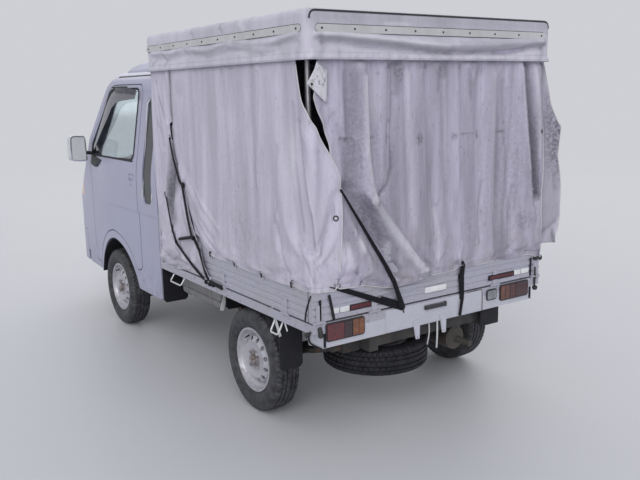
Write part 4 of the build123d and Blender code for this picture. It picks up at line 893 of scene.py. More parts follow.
# Creases on the skirt, as (places, half width, rise, shade): the rise presses them in, and the shade paints
# shade below zero and highlight above zero
PUCKERS = [
    ([(0.72 - 0.045 * k, 1.772 - 0.010 * (k % 3)), (0.735 - 0.045 * k, 1.738)], 0.014, 0.0035,
     -0.16 if k % 2 else 0.22)
    for k in range(32)
]
REAR_SKIRT_CREASES_AND_SHADING = PUCKERS + [
    ([(0.70, 1.826), (0.42, 1.812), (0.12, 1.789), (-0.14, 1.772), (-0.42, 1.781), (-0.70, 1.822)],
     0.020, -0.007, -0.50),
    ([(0.66, 1.838), (0.44, 1.828), (0.20, 1.812), (-0.02, 1.793)], 0.020, 0.006, 0.40),
    ([(-0.10, 1.812), (-0.34, 1.816), (-0.62, 1.836)], 0.024, 0.003, -0.30),
    ([(-0.10, 1.770), (-0.20, 1.762), (-0.32, 1.776)], 0.010, 0.004, 0.60),
    ([(0.62, 1.790), (0.30, 1.768), (0.00, 1.756), (-0.40, 1.760), (-0.66, 1.790)], 0.016, 0.005, 0.25),
    ([(0.68, 1.830), (0.66, 1.780), (0.70, 1.745)], 0.016, -0.004, -0.30),
    ([(-0.69, 1.840), (-0.70, 1.790), (-0.68, 1.745)], 0.014, -0.004, -0.35),
    # Painted shade over the top band of the rear panel
    ([(0.76, 1.908), (-0.76, 1.908)], 0.060, 0.0, -0.30),
    ([(0.34, 1.888), (0.20, 1.886)], 0.008, 0.003, 0.45),
]
SIDE_SKIRT_CREASES_AND_SHADING = [
    ([(1.00 + 0.05 * k, 1.770), (1.015 + 0.05 * k, 1.740)], 0.014, 0.003, -0.14 if k % 2 else 0.18)
    for k in range(14)
] + [
    ([(1.66, 1.832), (1.48, 1.808), (1.28, 1.812), (1.08, 1.836)], 0.016, -0.006, -0.35),
    ([(1.06, 1.832), (0.86, 1.806), (0.66, 1.812)], 0.014, -0.005, -0.25),
    ([(0.60, 1.836), (0.38, 1.812), (0.14, 1.822)], 0.014, -0.005, -0.25),
    ([(1.64, 1.800), (1.36, 1.782), (1.10, 1.790)], 0.014, 0.005, 0.35),
    ([(0.16, 1.800), (0.10, 1.770)], 0.014, -0.005, -0.40),
    ([(0.24, 1.836), (0.30, 1.786), (0.28, 1.760)], 0.010, -0.004, -0.40),
    ([(0.93, 1.930), (0.98, 1.892)], 0.012, -0.004, -0.35),
    ([(1.10, 1.935), (1.20, 1.890)], 0.014, 0.004, 0.40),
    ([(0.60, 1.925), (0.66, 1.885)], 0.012, -0.003, -0.25),
    ([(0.30, 1.925), (0.32, 1.885)], 0.012, 0.003, 0.30),
]


def cap_ring(inset, round_by):
    """Points, outward directions and running lengths round the cover, inset from its sides."""
    half = COVER_HALF - inset
    front = COVER_FRONT + inset
    rear = COVER_REAR - inset
    radius = max(round_by - inset, 0.002)
    corners = (
        (half - radius, front + radius, -90.0),
        (half - radius, rear - radius, 0.0),
        (-half + radius, rear - radius, 90.0),
        (-half + radius, front + radius, 180.0),
    )
    ring = []
    for k, (x, y, start) in enumerate(corners):
        for step in range(ARC_STEPS + 1):
            angle = math.radians(start + 90.0 * step / ARC_STEPS)
            out = Vector((math.cos(angle), math.sin(angle), 0.0))
            ring.append((Vector((x, y, 0.0)) + out * radius, out))
        following = corners[(k + 1) % 4]
        out = ring[-1][1]
        begin = ring[-1][0]
        finish = Vector((following[0], following[1], 0.0)) + out * radius
        for step in range(1, CAP_STEPS[k]):
            ring.append((begin.lerp(finish, step / CAP_STEPS[k]), out))
    return ring


def skirt(z, lift=0.0):
    """Points, outward directions and painted shade and highlight of the skirt at a height."""
    ring = cap_ring(0.0, CAP_ROUND)
    ends = np.array([abs(out.y) > 0.7 for p, out in ring])
    places = np.array([(p.x if end else p.y, z) for (p, out), end in zip(ring, ends)])
    ease = 1.0 if z < BATTEN_LOW else 0.0
    swell = np.where(ends, folds_at(places, REAR_SKIRT_FOLDS) * ease, folds_at(places, SIDE_SKIRT_FOLDS))
    swell += FINE_WAVE * ease * cloud(places, 9.0, 2.0)
    swell *= 1.0 - math.exp(-(((z - (BATTEN_LOW + BATTEN_HIGH) / 2) / 0.020) ** 2))
    swell += FINE_WAVE * min(1.0, max(0.0, (1.80 - z) / 0.05)) * cloud(places * (1.0, 0.24), 38.0, 7.0)
    rear_relief, rear_shading = relief_shade_and_stains(places, (), REAR_SKIRT_CREASES_AND_SHADING)
    side_relief, side_shading = relief_shade_and_stains(places, (), SIDE_SKIRT_CREASES_AND_SHADING)
    swell += np.where(ends, rear_relief, side_relief) + lift
    points = [p + out * float(by) + Vector((0, 0, z)) for (p, out), by in zip(ring, swell)]
    shade_and_stains = {name: np.where(ends, rear_shading[name], side_shading[name]) for name in rear_shading}
    return points, [out for p, out in ring], shade_and_stains


def build_cap():
    """The cap with its skirt, as one sheet."""
    rings = []
    shade_and_stains = []
    for k in range(SKIRT_ROWS):
        points, _, values = skirt(SKIRT_Z + SKIRT_ROW * k)
        rings.append(points)
        shade_and_stains.append(values)
    edge_low = COVER_TOP - CAP_EDGE_ROUND
    for k in range(ARC_STEPS + 1):
        angle = math.radians(90.0 * k / ARC_STEPS)
        inset = CAP_EDGE_ROUND * (1.0 - math.cos(angle))
        z = edge_low + CAP_EDGE_ROUND * math.sin(angle)
        rings.append([p + Vector((0, 0, z)) for p, _ in cap_ring(inset, CAP_ROUND)])
    inset = CAP_EDGE_ROUND
    while inset < COVER_HALF - CAP_MIDDLE:
        inset += TOP_ROW
        ring = []
        for p, _ in cap_ring(inset, CAP_ROUND):
            between = math.sin((p.y - COVER_FRONT) / (COVER_REAR - COVER_FRONT) * math.pi * CAP_BAYS) ** 2
            sag = CAP_SAG * between * min(1.0, (inset - CAP_EDGE_ROUND) / 0.1)
            crease = 0.003 * noise.noise(Vector((p.x * 7.0, p.y * 3.5, 4.0)))
            crease += 0.0015 * noise.noise(Vector((p.x * 22.0, p.y * 16.0, 6.0)))
            ring.append(p + Vector((0, 0, COVER_TOP - CAP_DROP - sag + crease)))
        rings.append(ring)
    count = len(rings[0])
    vertices = [ring[i] for i in range(count) for ring in rings]
    faces = grid_faces(count, len(rings), closed=True)
    faces.append([i * len(rings) + len(rings) - 1 for i in range(count)])
    cap = add_piece("cap_cloth", vertices, faces, "cap")
    # Rows of the rounded edge take the skirt's painted shade and highlight; the top has none
    unshaded = {name: np.zeros(count) for name in shade_and_stains[0]}
    shade_and_stains += [shade_and_stains[-1]] * ARC_SHADED + [unshaded] * (len(rings) - len(shade_and_stains) - ARC_SHADED)
    note(cap, {name: np.stack([values[name] for values in shade_and_stains], axis=1).ravel() for name in unshaded})
    thicken(cap, -1.0)
    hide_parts("canopy_roof")
    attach(cap, "chassis")


build_cap()


# Hung sheets
CORNER_ROUND = 0.030
LEFT_CORNER_S = REAR_SHEET_Y - CORNER_ROUND
WRAP_S = LEFT_CORNER_S + CORNER_ROUND * math.pi / 2
REAR_CURTAIN_Y = REAR_SHEET_Y - 0.007
FRONT_CURTAIN_Y = 0.018
SWING_START = 1.50
SWING_RUN = 0.24
SWING_OUT = 0.09
HELD_SHARE = 0.075
PIN_RADIUS = 0.016
SEAM_STEP = 0.012
SHEET_STEPS = 30
REAR_SWELL_LIMIT = 1.738
REAR_SWELL_HELD = 0.7
MOST_MOVE = 0.05
RIPPLE_FADE = 0.15
TUCK_Z = 1.70
TUCK_RUN = 0.05
CLOTH_GAP = 0.003


def wrap_s(x):
    """Running length along the left sheet to a place on its rear wrap."""
    return WRAP_S + SIDE_X - CORNER_ROUND - x


def left_path(s):
    """Left side plane, round the rear corner and on along the rear."""
    angle = np.clip((s - LEFT_CORNER_S) / CORNER_ROUND, 0.0, math.pi / 2)
    x = SIDE_X - CORNER_ROUND + CORNER_ROUND * np.cos(angle) - np.maximum(s - WRAP_S, 0.0)
    y = np.minimum(s, LEFT_CORNER_S) + CORNER_ROUND * np.sin(angle)
    return x, y, np.cos(angle), np.sin(angle)


def rear_path(s):
    """Rear plane; s is the place across the truck."""
    return s, np.full_like(s, REAR_CURTAIN_Y), np.zeros_like(s), np.ones_like(s)


def right_path(s):
    """Right side plane, its last stretch swung outwards."""
    swing = np.clip((s - SWING_START) / SWING_RUN, 0.0, 1.0)
    return -SIDE_X - SWING_OUT * swing**2, s, -np.ones_like(s), 0.4 * swing


def front_path(s):
    """Front plane; s is the place across the truck."""
    return s, np.full_like(s, FRONT_CURTAIN_Y), np.zeros_like(s), -np.ones_like(s)


class Hung:
    """A hanging sheet: a grid of points, with each point's flat place as (running length, height)."""

    def __init__(self, name, material, path, edges, hem, folds, pins, tuck=0.006, ripple=0.0012, seed=1.0,
                 cell=0.018, slack=0.004, stains_and_shading=(), creases_and_shading=()):
        edges = np.array(edges)
        hem = np.array(sorted(hem))
        top = edges[0][0]
        bottom = edges[-1][0]
        self.name = name
        self.material = material
        self.slack = slack
        self.stains_and_shading = stains_and_shading
        self.creases_and_shading = creases_and_shading
        self.rows = int((top - bottom) / cell) + 1
        self.columns = int(np.max(edges[:, 2] - edges[:, 1]) / cell) + 1
        across = np.linspace(0.0, 1.0, self.columns)
        u, v = np.meshgrid(across, np.linspace(0.0, 1.0, self.rows), indexing="ij")
        u = u.ravel()
        v = v.ravel()
        z = top + (bottom - top) * v
        start = np.interp(-z, -edges[:, 0], edges[:, 1])
        end = np.interp(-z, -edges[:, 0], edges[:, 2])
        s = start + (end - start) * u
        z = z + (np.interp(s, hem[:, 0], hem[:, 1]) - bottom) * v**3
        self.places = np.stack([s, z], axis=1)
        depth = folds_at(self.places, folds)
        fading = np.clip((top - z) / RIPPLE_FADE, 0.0, 1.0)
        waves = cloud(self.places * (1.0, 0.28), 11.0, seed) + 0.6 * cloud(self.places, 24.0, seed + 5.0)
        depth += ripple * fading * waves
        depth -= tuck * np.clip((z - TUCK_Z) / TUCK_RUN, 0.0, 1.0)
        x, y, out_x, out_y = path(s)
        self.out = np.stack([out_x, out_y, np.zeros_like(out_x)], axis=1)
        self.points = np.stack([x + out_x * depth, y + out_y * depth, z], axis=1)
        self.held = v < HELD_SHARE
        for place in pins:
            self.held |= np.linalg.norm(self.places - np.array(place), axis=1) < PIN_RADIUS

    def rough_sheet(self):
        """The sheet as a plain mesh, for the simulation."""
        faces = grid_faces(self.columns, self.rows)
        piece = add_piece(self.name + "_rough", self.points, faces, self.material)
        held = piece.vertex_groups.new(name="held")
        held.add([int(i) for i in np.nonzero(self.held)[0]], 1.0, "REPLACE")
        return piece

    def refine(self):
        """Doubles the grid with smooth points between, and works out its outward normals."""
        for name in ("points", "places", "out"):
            grid = getattr(self, name).reshape(self.columns, self.rows, -1)
            for axis in (0, 1):
                grid = doubled(grid, axis)
            setattr(self, name, grid)
        self.columns, self.rows = self.points.shape[:2]
        self.find_normals()
        self.crease()
        beyond = np.maximum(self.points[:, :, 1] - REAR_SWELL_LIMIT, 0.0)
        self.points[:, :, 1] -= beyond * REAR_SWELL_HELD
        self.find_normals()

    def find_normals(self):
        """Works out the outward normals."""
        along = np.gradient(self.points, axis=0)
        down = np.gradient(self.points, axis=1)
        normal = np.cross(along, down)
        normal /= np.linalg.norm(normal, axis=2, keepdims=True) + 1e-12
        facing = np.sign(np.sum(normal * self.out, axis=2, keepdims=True))
        self.normal = normal * np.where(facing == 0, 1.0, np.median(facing))

    def crease(self):
        """Presses the creases in, and notes their painted shade and painted highlight, and the marks' stains,
        painted shade and painted highlight.
        """
        relief, self.values = relief_shade_and_stains(self.places.reshape(-1, 2), self.stains_and_shading, self.creases_and_shading)
        self.points = self.points + self.normal * relief.reshape(self.columns, self.rows, 1)

    def cloth(self):
        """The finished sheet with its thickness, as one closed mesh."""
        outer = self.points.reshape(-1, 3)
        inner = outer - self.normal.reshape(-1, 3) * CANVAS_THICK
        count = len(outer)
        faces = grid_faces(self.columns, self.rows)
        faces += [tuple(count + i for i in reversed(face)) for face in grid_faces(self.columns, self.rows)]
        rim = [i * self.rows for i in range(self.columns)]
        rim += [(self.columns - 1) * self.rows + j for j in range(1, self.rows)]
        rim += [i * self.rows + self.rows - 1 for i in reversed(range(self.columns - 1))]
        rim += list(reversed(range(1, self.rows - 1)))
        for k, here in enumerate(rim):
            following = rim[(k + 1) % len(rim)]
            faces.append((here, following, count + following, count + here))
        piece = add_piece(self.name, np.concatenate([outer, inner]), faces, self.material)
        note(piece, {name: np.tile(values, 2) for name, values in self.values.items()})
        face_outwards(piece)
        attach(piece, "chassis")
        return piece

    def sample(self, column, row):
        """Point and outward normal at a place between grid points."""
        i = min(max(column, 0.0), self.columns - 1.001)
        j = min(max(row, 0.0), self.rows - 1.001)
        a = int(i)
        b = int(j)
        f = i - a
        g = j - b
        found = []
        for grid in (self.points, self.normal):
            value = ((1 - f) * (1 - g) * grid[a, b] + f * (1 - g) * grid[a + 1, b]
                     + (1 - f) * g * grid[a, b + 1] + f * g * grid[a + 1, b + 1])
            found.append(Vector(value))
        return found[0], found[1].normalized()

    def at(self, s, z):
        """Point and outward normal at a flat place."""
        apart = np.sum((self.places - np.array((s, z))) ** 2, axis=2)
        a, b = np.unravel_index(np.argmin(apart), apart.shape)
        inner_a = min(max(a, 1), self.columns - 2)
        inner_b = min(max(b, 1), self.rows - 2)
        per_column = (self.places[inner_a + 1, inner_b] - self.places[inner_a - 1, inner_b]) / 2
        per_row = (self.places[inner_a, inner_b + 1] - self.places[inner_a, inner_b - 1]) / 2
        rest = np.array((s, z)) - self.places[a, b]
        step = np.linalg.solve(np.stack([per_column, per_row], axis=1), rest)
        step = np.clip(step, -1.0, 1.0)
        return self.sample(a + step[0], b + step[1])

    def along(self, line, lift):
        """Points and normals on the sheet along a line of flat places."""
        points = []
        outs = []
        for (s0, z0), (s1, z1) in zip(line, line[1:]):
            count = max(1, int(math.hypot(s1 - s0, z1 - z0) / SEAM_STEP))
            for step in range(count):
                t = step / count
                point, out = self.at(s0 + (s1 - s0) * t, z0 + (z1 - z0) * t)
                points.append(point + out * lift)
                outs.append(out)
        point, out = self.at(*line[-1])
        return points + [point + out * lift], outs + [out]

    def edge(self, which, inset=0.0, low=0.0, high=1.0, lift=0.0):
        """Points and normals along the hem or a side edge, inset metres from it, from share low to high."""
        if which == "hem":
            span = self.columns
            size = np.linalg.norm(self.points[:, -1] - self.points[:, -2], axis=1).mean()
        else:
            span = self.rows
            size = np.linalg.norm(self.points[1] - self.points[0], axis=1).mean()
        points = []
        outs = []
        for k in range(int(low * (span - 1)), int(high * (span - 1)) + 1):
            place = {
                "hem": (k, self.rows - 1 - inset / size),
                "start": (inset / size, k),
                "end": (self.columns - 1 - inset / size, k),
            }[which]
            point, out = self.sample(*place)
            points.append(point + out * lift)
            outs.append(out)
        return points, outs


def doubled(grid, axis):
    """A grid with a smooth point added between each two along an axis."""
    grid = np.moveaxis(grid, axis, 0)
    wide = np.concatenate([2 * grid[:1] - grid[1:2], grid, 2 * grid[-1:] - grid[-2:-1]])
    middle = (9 * (wide[1:-2] + wide[2:-1]) - wide[:-3] - wide[3:]) / 16
    full = np.empty((2 * len(grid) - 1, *grid.shape[1:]))
    full[0::2] = grid
    full[1::2] = middle
    return np.moveaxis(full, 0, axis)


def inner_frame():
    """What the sheets lie on while they hang: the gates and, above them, the hoops."""
    vertices = []
    faces = []
    for half, front, rear, low, high in (
        (HALF_WIDTH + 0.001, 0.022, REAR_Y + 0.0005, 0.60, 0.90),
        (0.701, 0.03, 1.638, 0.88, 1.90),
    ):
        first = len(vertices)
        for z in (low, high):
            vertices += [(-half, front, z), (half, front, z), (half, rear, z), (-half, rear, z)]
        for quad in ((3, 2, 1, 0), (4, 5, 6, 7), (0, 1, 5, 4), (1, 2, 6, 5), (2, 3, 7, 6), (3, 0, 4, 7)):
            faces.append([first + k for k in quad])
    block = add_piece("inner_frame", vertices, faces, "canvas")
    block.modifiers.new("collision", "COLLISION")
    block.collision.thickness_outer = CLOTH_GAP
    return block


def settle(sheets):
    """Lets the sheets hang, then keeps the hung shape."""
    block = inner_frame()
    rough = [sheet.rough_sheet() for sheet in sheets]
    for sheet, piece in zip(sheets, rough):
        cloth = piece.modifiers.new("cloth", "CLOTH")
        settings = cloth.settings
        settings.quality = 6
        settings.mass = 0.35
        settings.air_damping = 2.0
        settings.tension_stiffness = 30.0
        settings.compression_stiffness = 30.0
        settings.shear_stiffness = 8.0
        settings.bending_stiffness = 1.2
        settings.shrink_min = -sheet.slack
        settings.vertex_group_mass = "held"
        cloth.collision_settings.distance_min = CLOTH_GAP
        cloth.point_cache.frame_start = 1
        cloth.point_cache.frame_end = SHEET_STEPS
    for step in range(1, SHEET_STEPS + 1):
        SCENE.frame_set(step)
    graph = bpy.context.evaluated_depsgraph_get()
    for sheet, piece in zip(sheets, rough):
        hung = bpy.data.meshes.new_from_object(piece.evaluated_get(graph))
        moved = np.array([vertex.co for vertex in hung.vertices])
        step = moved - sheet.points
        length = np.linalg.norm(step, axis=1, keepdims=True)
        sheet.points = sheet.points + step * np.minimum(1.0, MOST_MOVE / np.maximum(length, 1e-9))
        bpy.data.meshes.remove(hung)
    for piece in rough:
        bpy.data.objects.remove(piece)
    bpy.data.objects.remove(block)
    SCENE.frame_set(1)


LEFT_EDGES = [
    (1.820, 0.300, 1.600), (1.712, 0.302, 1.610), (1.634, 0.300, 1.630), (1.577, 0.300, 1.654),
    (1.532, 0.300, 1.690), (1.455, 0.302, wrap_s(0.702)), (1.423, 0.303, wrap_s(0.685)),
    (1.342, 0.325, wrap_s(0.633)), (1.297, 0.346, wrap_s(0.608)), (1.265, 0.365, wrap_s(0.593)),
    (1.186, 0.402, wrap_s(0.578)), (1.112, 0.432, wrap_s(0.576)), (1.056, 0.455, wrap_s(0.576)),
    (0.970, 0.500, wrap_s(0.580)), (0.842, 0.580, wrap_s(0.590)), (0.786, 0.690, wrap_s(0.600)),
    (0.757, 0.738, wrap_s(0.608)),
]
LEFT_HEM = [(0.738, 0.766), (1.019, 0.764), (1.288, 0.757), (1.555, 0.760), (1.72, 0.750), (1.83, 0.741)]
LEFT_HOOKS = [(0.746, 0.768), (1.017, 0.765), (1.288, 0.759), (1.554, 0.762)]
LEFT_PINS = LEFT_HOOKS + [(1.75, 0.755), (wrap_s(0.61), 0.748), (0.303, 1.42), (0.451, 1.11), (0.604, 0.842),
                          (wrap_s(0.70), 1.452), (wrap_s(0.578), 1.19)]
LEFT_FOLDS = [
    (0.008, 0.022, [(1.284, 1.72), (1.266, 1.45), (1.244, 1.31), (1.262, 1.19)]),
    (-0.006, 0.030, [(0.925, 1.72), (0.905, 1.54)]),
    (0.010, 0.030, [(1.466, 1.38), (1.445, 1.21), (1.405, 1.03), (1.39, 0.82)]),
    (-0.012, 0.022, [(1.598, 1.48), (1.640, 1.283), (1.674, 1.107), (1.687, 0.96), (1.75, 0.86)]),
    (0.010, 0.024, [(1.66, 1.46), (1.71, 1.36), (1.755, 1.20), (1.79, 1.02), (1.80, 0.82)]),
    (-0.010, 0.018, [(1.735, 1.36), (1.783, 1.24), (1.82, 1.10)]),
    (-0.008, 0.022, [(1.43, 1.025), (1.465, 0.906), (1.512, 0.80)]),
    (0.014, 0.028, [(0.42, 1.20), (0.595, 0.978), (0.780, 0.868), (0.896, 0.825)]),
    (-0.010, 0.024, [(0.50, 1.18), (0.66, 1.00), (0.84, 0.90), (1.02, 0.86)]),
    (0.008, 0.030, [(1.10, 1.02), (1.18, 0.88), (1.26, 0.79)]),
    (-0.006, 0.026, [(1.00, 0.98), (1.03, 0.84)]),
    (0.006, 0.050, [(0.62, 1.62), (0.60, 1.30)]),
]
FLAP_EDGES = [
    (1.820, 0.020, 0.300), (1.72, 0.030, 0.298), (1.54, 0.020, 0.296), (1.358, 0.018, 0.296),
    (1.27, 0.018, 0.320), (1.10, 0.028, 0.440), (0.95, 0.052, 0.530), (0.80, 0.078, 0.610),
    (0.62, 0.104, 0.735),
]
FLAP_HEM = [(0.104, 0.606), (0.213, 0.600), (0.457, 0.633), (0.628, 0.624), (0.742, 0.606)]
FLAP_FOLDS = [
    (0.010, 0.030, [(0.27, 1.72), (0.265, 1.28), (0.19, 1.12), (0.145, 0.99), (0.115, 0.90), (0.11, 0.78)]),
    (-0.050, 0.050, [(0.33, 1.30), (0.29, 1.12), (0.27, 0.98)]),
    (-0.016, 0.020, [(0.10, 1.66), (0.17, 1.50), (0.24, 1.40)]),
    (0.012, 0.020, [(0.05, 1.60), (0.12, 1.44), (0.22, 1.30)]),
    (-0.014, 0.018, [(0.06, 1.40), (0.10, 1.20), (0.09, 1.00)]),
    (0.014, 0.022, [(0.12, 0.78), (0.22, 0.72), (0.34, 0.74)]),
    (-0.012, 0.018, [(0.14, 0.70), (0.26, 0.67), (0.36, 0.68)]),
    (0.016, 0.020, [(0.42, 1.02), (0.50, 0.86), (0.60, 0.72)]),
    (-0.014, 0.018, [(0.36, 0.86), (0.44, 0.76), (0.56, 0.66)]),
    (0.010, 0.016, [(0.20, 0.63), (0.32, 0.66), (0.45, 0.64)]),
]
FLAP_PINS = [(0.296, 1.43), (0.30, 1.32), (0.44, 1.10), (0.60, 0.80), (0.735, 0.625), (0.11, 0.62),
             (0.28, 0.62), (0.45, 0.64), (0.60, 0.63)]
REAR_EDGES = [
    (1.820, -0.720, 0.690), (1.735, -0.690, 0.684), (1.650, -0.745, 0.690), (1.585, -0.775, 0.706),
    (1.530, -0.785, 0.690), (1.460, -0.775, 0.662), (1.386, -0.758, 0.634), (1.200, -0.742, 0.620),
    (1.086, -0.734, 0.622), (0.943, -0.736, 0.628), (0.802, -0.741, 0.632), (0.742, -0.738, 0.632),
]
REAR_HEM = [(0.632, 0.750), (0.446, 0.742), (0.330, 0.726), (0.260, 0.722), (0.180, 0.736), (0.088, 0.738),
            (-0.139, 0.743), (-0.391, 0.750), (-0.482, 0.745), (-0.660, 0.736), (-0.738, 0.700)]
REAR_FOLDS = [
    (0.054, 0.030, [(0.440, 1.160), (0.372, 1.085), (0.300, 1.000), (0.225, 0.910), (0.160, 0.830),
                    (0.110, 0.76)]),
    (-0.030, 0.036, [(0.560, 1.190), (0.486, 1.110), (0.400, 1.000), (0.330, 0.900), (0.270, 0.80)]),
    (0.026, 0.030, [(0.465, 1.70), (0.461, 1.50), (0.457, 1.335), (0.441, 1.20), (0.42, 1.13)]),
    (-0.022, 0.030, [(0.530, 1.68), (0.525, 1.50), (0.530, 1.34), (0.526, 1.22)]),
    (-0.010, 0.018, [(0.292, 1.72), (0.296, 1.495), (0.303, 1.274), (0.334, 1.19), (0.39, 1.125)]),
    (0.010, 0.030, [(0.240, 1.70), (0.238, 1.48), (0.250, 1.26)]),
    (-0.010, 0.020, [(0.082, 1.72), (0.067, 1.505), (0.056, 1.311), (0.050, 1.13)]),
    (0.010, 0.026, [(0.020, 1.71), (0.010, 1.48), (0.00, 1.20), (-0.01, 1.00)]),
    (-0.008, 0.028, [(-0.07, 1.70), (-0.07, 1.40), (-0.08, 1.10)]),
    (0.012, 0.030, [(-0.20, 1.70), (-0.215, 1.45), (-0.22, 1.15), (-0.215, 0.90)]),
    (-0.012, 0.022, [(-0.30, 1.16), (-0.272, 1.00), (-0.262, 0.90)]),
    (0.010, 0.030, [(-0.36, 1.66), (-0.37, 1.40), (-0.36, 1.10), (-0.34, 0.90)]),
    (-0.014, 0.030, [(-0.570, 1.10), (-0.510, 0.95), (-0.480, 0.80)]),
    (0.014, 0.030, [(-0.45, 1.30), (-0.44, 1.10), (-0.41, 0.92)]),
    (0.018, 0.028, [(-0.555, 1.72), (-0.590, 1.466), (-0.632, 1.17), (-0.670, 0.95)]),
    (-0.034, 0.024, [(-0.595, 1.72), (-0.636, 1.46), (-0.674, 1.25), (-0.700, 1.05)]),
    (0.014, 0.024, [(0.500, 1.00), (0.474, 0.930), (0.520, 0.84)]),
    (-0.012, 0.024, [(0.560, 1.05), (0.545, 0.92), (0.560, 0.80)]),
    (0.010, 0.016, [(0.05, 0.80), (-0.02, 0.85), (-0.03, 0.92)]),
    (0.010, 0.016, [(-0.13, 0.79), (-0.16, 0.86)]),
    (0.010, 0.020, [(0.16, 1.71), (0.13, 1.66), (0.10, 1.71)]),
    (0.010, 0.020, [(-0.17, 1.71), (-0.20, 1.655), (-0.24, 1.71)]),
    (0.008, 0.020, [(-0.33, 1.71), (-0.37, 1.66), (-0.41, 1.71)]),
]
REAR_PINS = [(0.60, 1.50), (0.60, 1.20), (0.61, 0.78), (-0.41, 0.750), (-0.14, 0.745), (0.473, 0.748),
             (-0.62, 0.742), (0.10, 0.742), (-0.72, 0.72)]
RIGHT_EDGES = [
    (1.820, 0.050, 1.650), (1.735, 0.050, 1.650), (1.519, 0.050, 1.690), (1.399, 0.050, 1.735),
    (1.258, 0.050, 1.722), (1.103, 0.050, 1.740), (0.900, 0.050, 1.745), (0.789, 0.050, 1.745),
]
RIGHT_HEM = [(0.050, 0.765), (1.60, 0.765), (1.745, 0.789)]
RIGHT_FOLDS = [
    (0.012, 0.030, [(0.30, 1.70), (0.32, 1.30), (0.28, 0.82)]),
    (-0.012, 0.030, [(0.42, 1.70), (0.44, 1.20), (0.46, 0.82)]),
    (0.012, 0.036, [(0.80, 1.70), (0.78, 1.30), (0.84, 0.84)]),
    (-0.010, 0.030, [(0.95, 1.60), (0.92, 1.20), (0.97, 0.82)]),
    (0.012, 0.030, [(1.30, 1.70), (1.27, 1.20), (1.22, 0.82)]),
    (-0.012, 0.030, [(1.48, 1.66), (1.50, 1.20), (1.52, 0.82)]),
]
RIGHT_PINS = [(0.10, 0.77), (0.45, 0.77), (0.746, 0.77), (1.017, 0.77), (1.288, 0.77), (1.554, 0.77),
              (1.70, 0.85), (1.735, 1.40)]
FRONT_EDGES = [(1.820, -0.725, 0.725), (0.660, -0.715, 0.715)]
FRONT_HEM = [(-0.715, 0.66), (0.0, 0.662), (0.715, 0.66)]
FRONT_FOLDS = [
    (0.0015, 0.040, [(x, 1.72), (x + 0.02, 1.2), (x, 0.70)]) for x in (-0.52, -0.2, 0.12, 0.46)
]


# Marks are (place, height, half width, half height, strength): stains and painted shade, and below zero
# painted highlight;
# creases are (places, half width, rise, shade): relief, with painted shade below zero and painted highlight
# above zero
REAR_STAINS_AND_SHADING = (
    # A row of stains across the sheet
    (0.123, 1.388, 0.026, 0.032, 1.0),
    (0.553, 1.409, 0.050, 0.010, 0.9),
    (0.408, 1.403, 0.034, 0.009, 0.9),
    (0.305, 1.393, 0.018, 0.022, 0.9),
    (-0.097, 1.389, 0.024, 0.020, 0.6),
    (-0.258, 1.390, 0.016, 0.026, 0.9),
    (-0.403, 1.404, 0.050, 0.010, 0.9),
    (-0.170, 1.397, 0.120, 0.008, 0.5),
    # Painted shade beside the big folds
    (0.46, 1.30, 0.200, 0.420, 0.30),
    (0.38, 0.98, 0.160, 0.260, 0.35),
    # Painted shade under the cap's skirt
    (-0.012, 1.690, 0.050, 0.040, 0.55),
    (-0.250, 1.700, 0.050, 0.040, 0.45),
    (0.245, 1.690, 0.045, 0.070, 0.65),
    (0.100, 1.700, 0.040, 0.040, 0.45),
    # Darker areas and spots
    (-0.480, 1.20, 0.260, 0.560, 0.26),
    (-0.705, 1.400, 0.050, 0.360, 0.30),
    (-0.589, 0.940, 0.060, 0.060, 0.55),
    (0.506, 0.825, 0.022, 0.030, 0.9),
    (-0.124, 0.775, 0.050, 0.030, 0.6),
    # Painted highlights on the folds
    (0.467, 0.949, 0.034, 0.050, -0.9),
    (0.560, 0.900, 0.040, 0.070, -0.5),
    (0.385, 1.560, 0.040, 0.140, -0.30),
    (0.310, 0.900, 0.020, 0.060, -0.5),
)
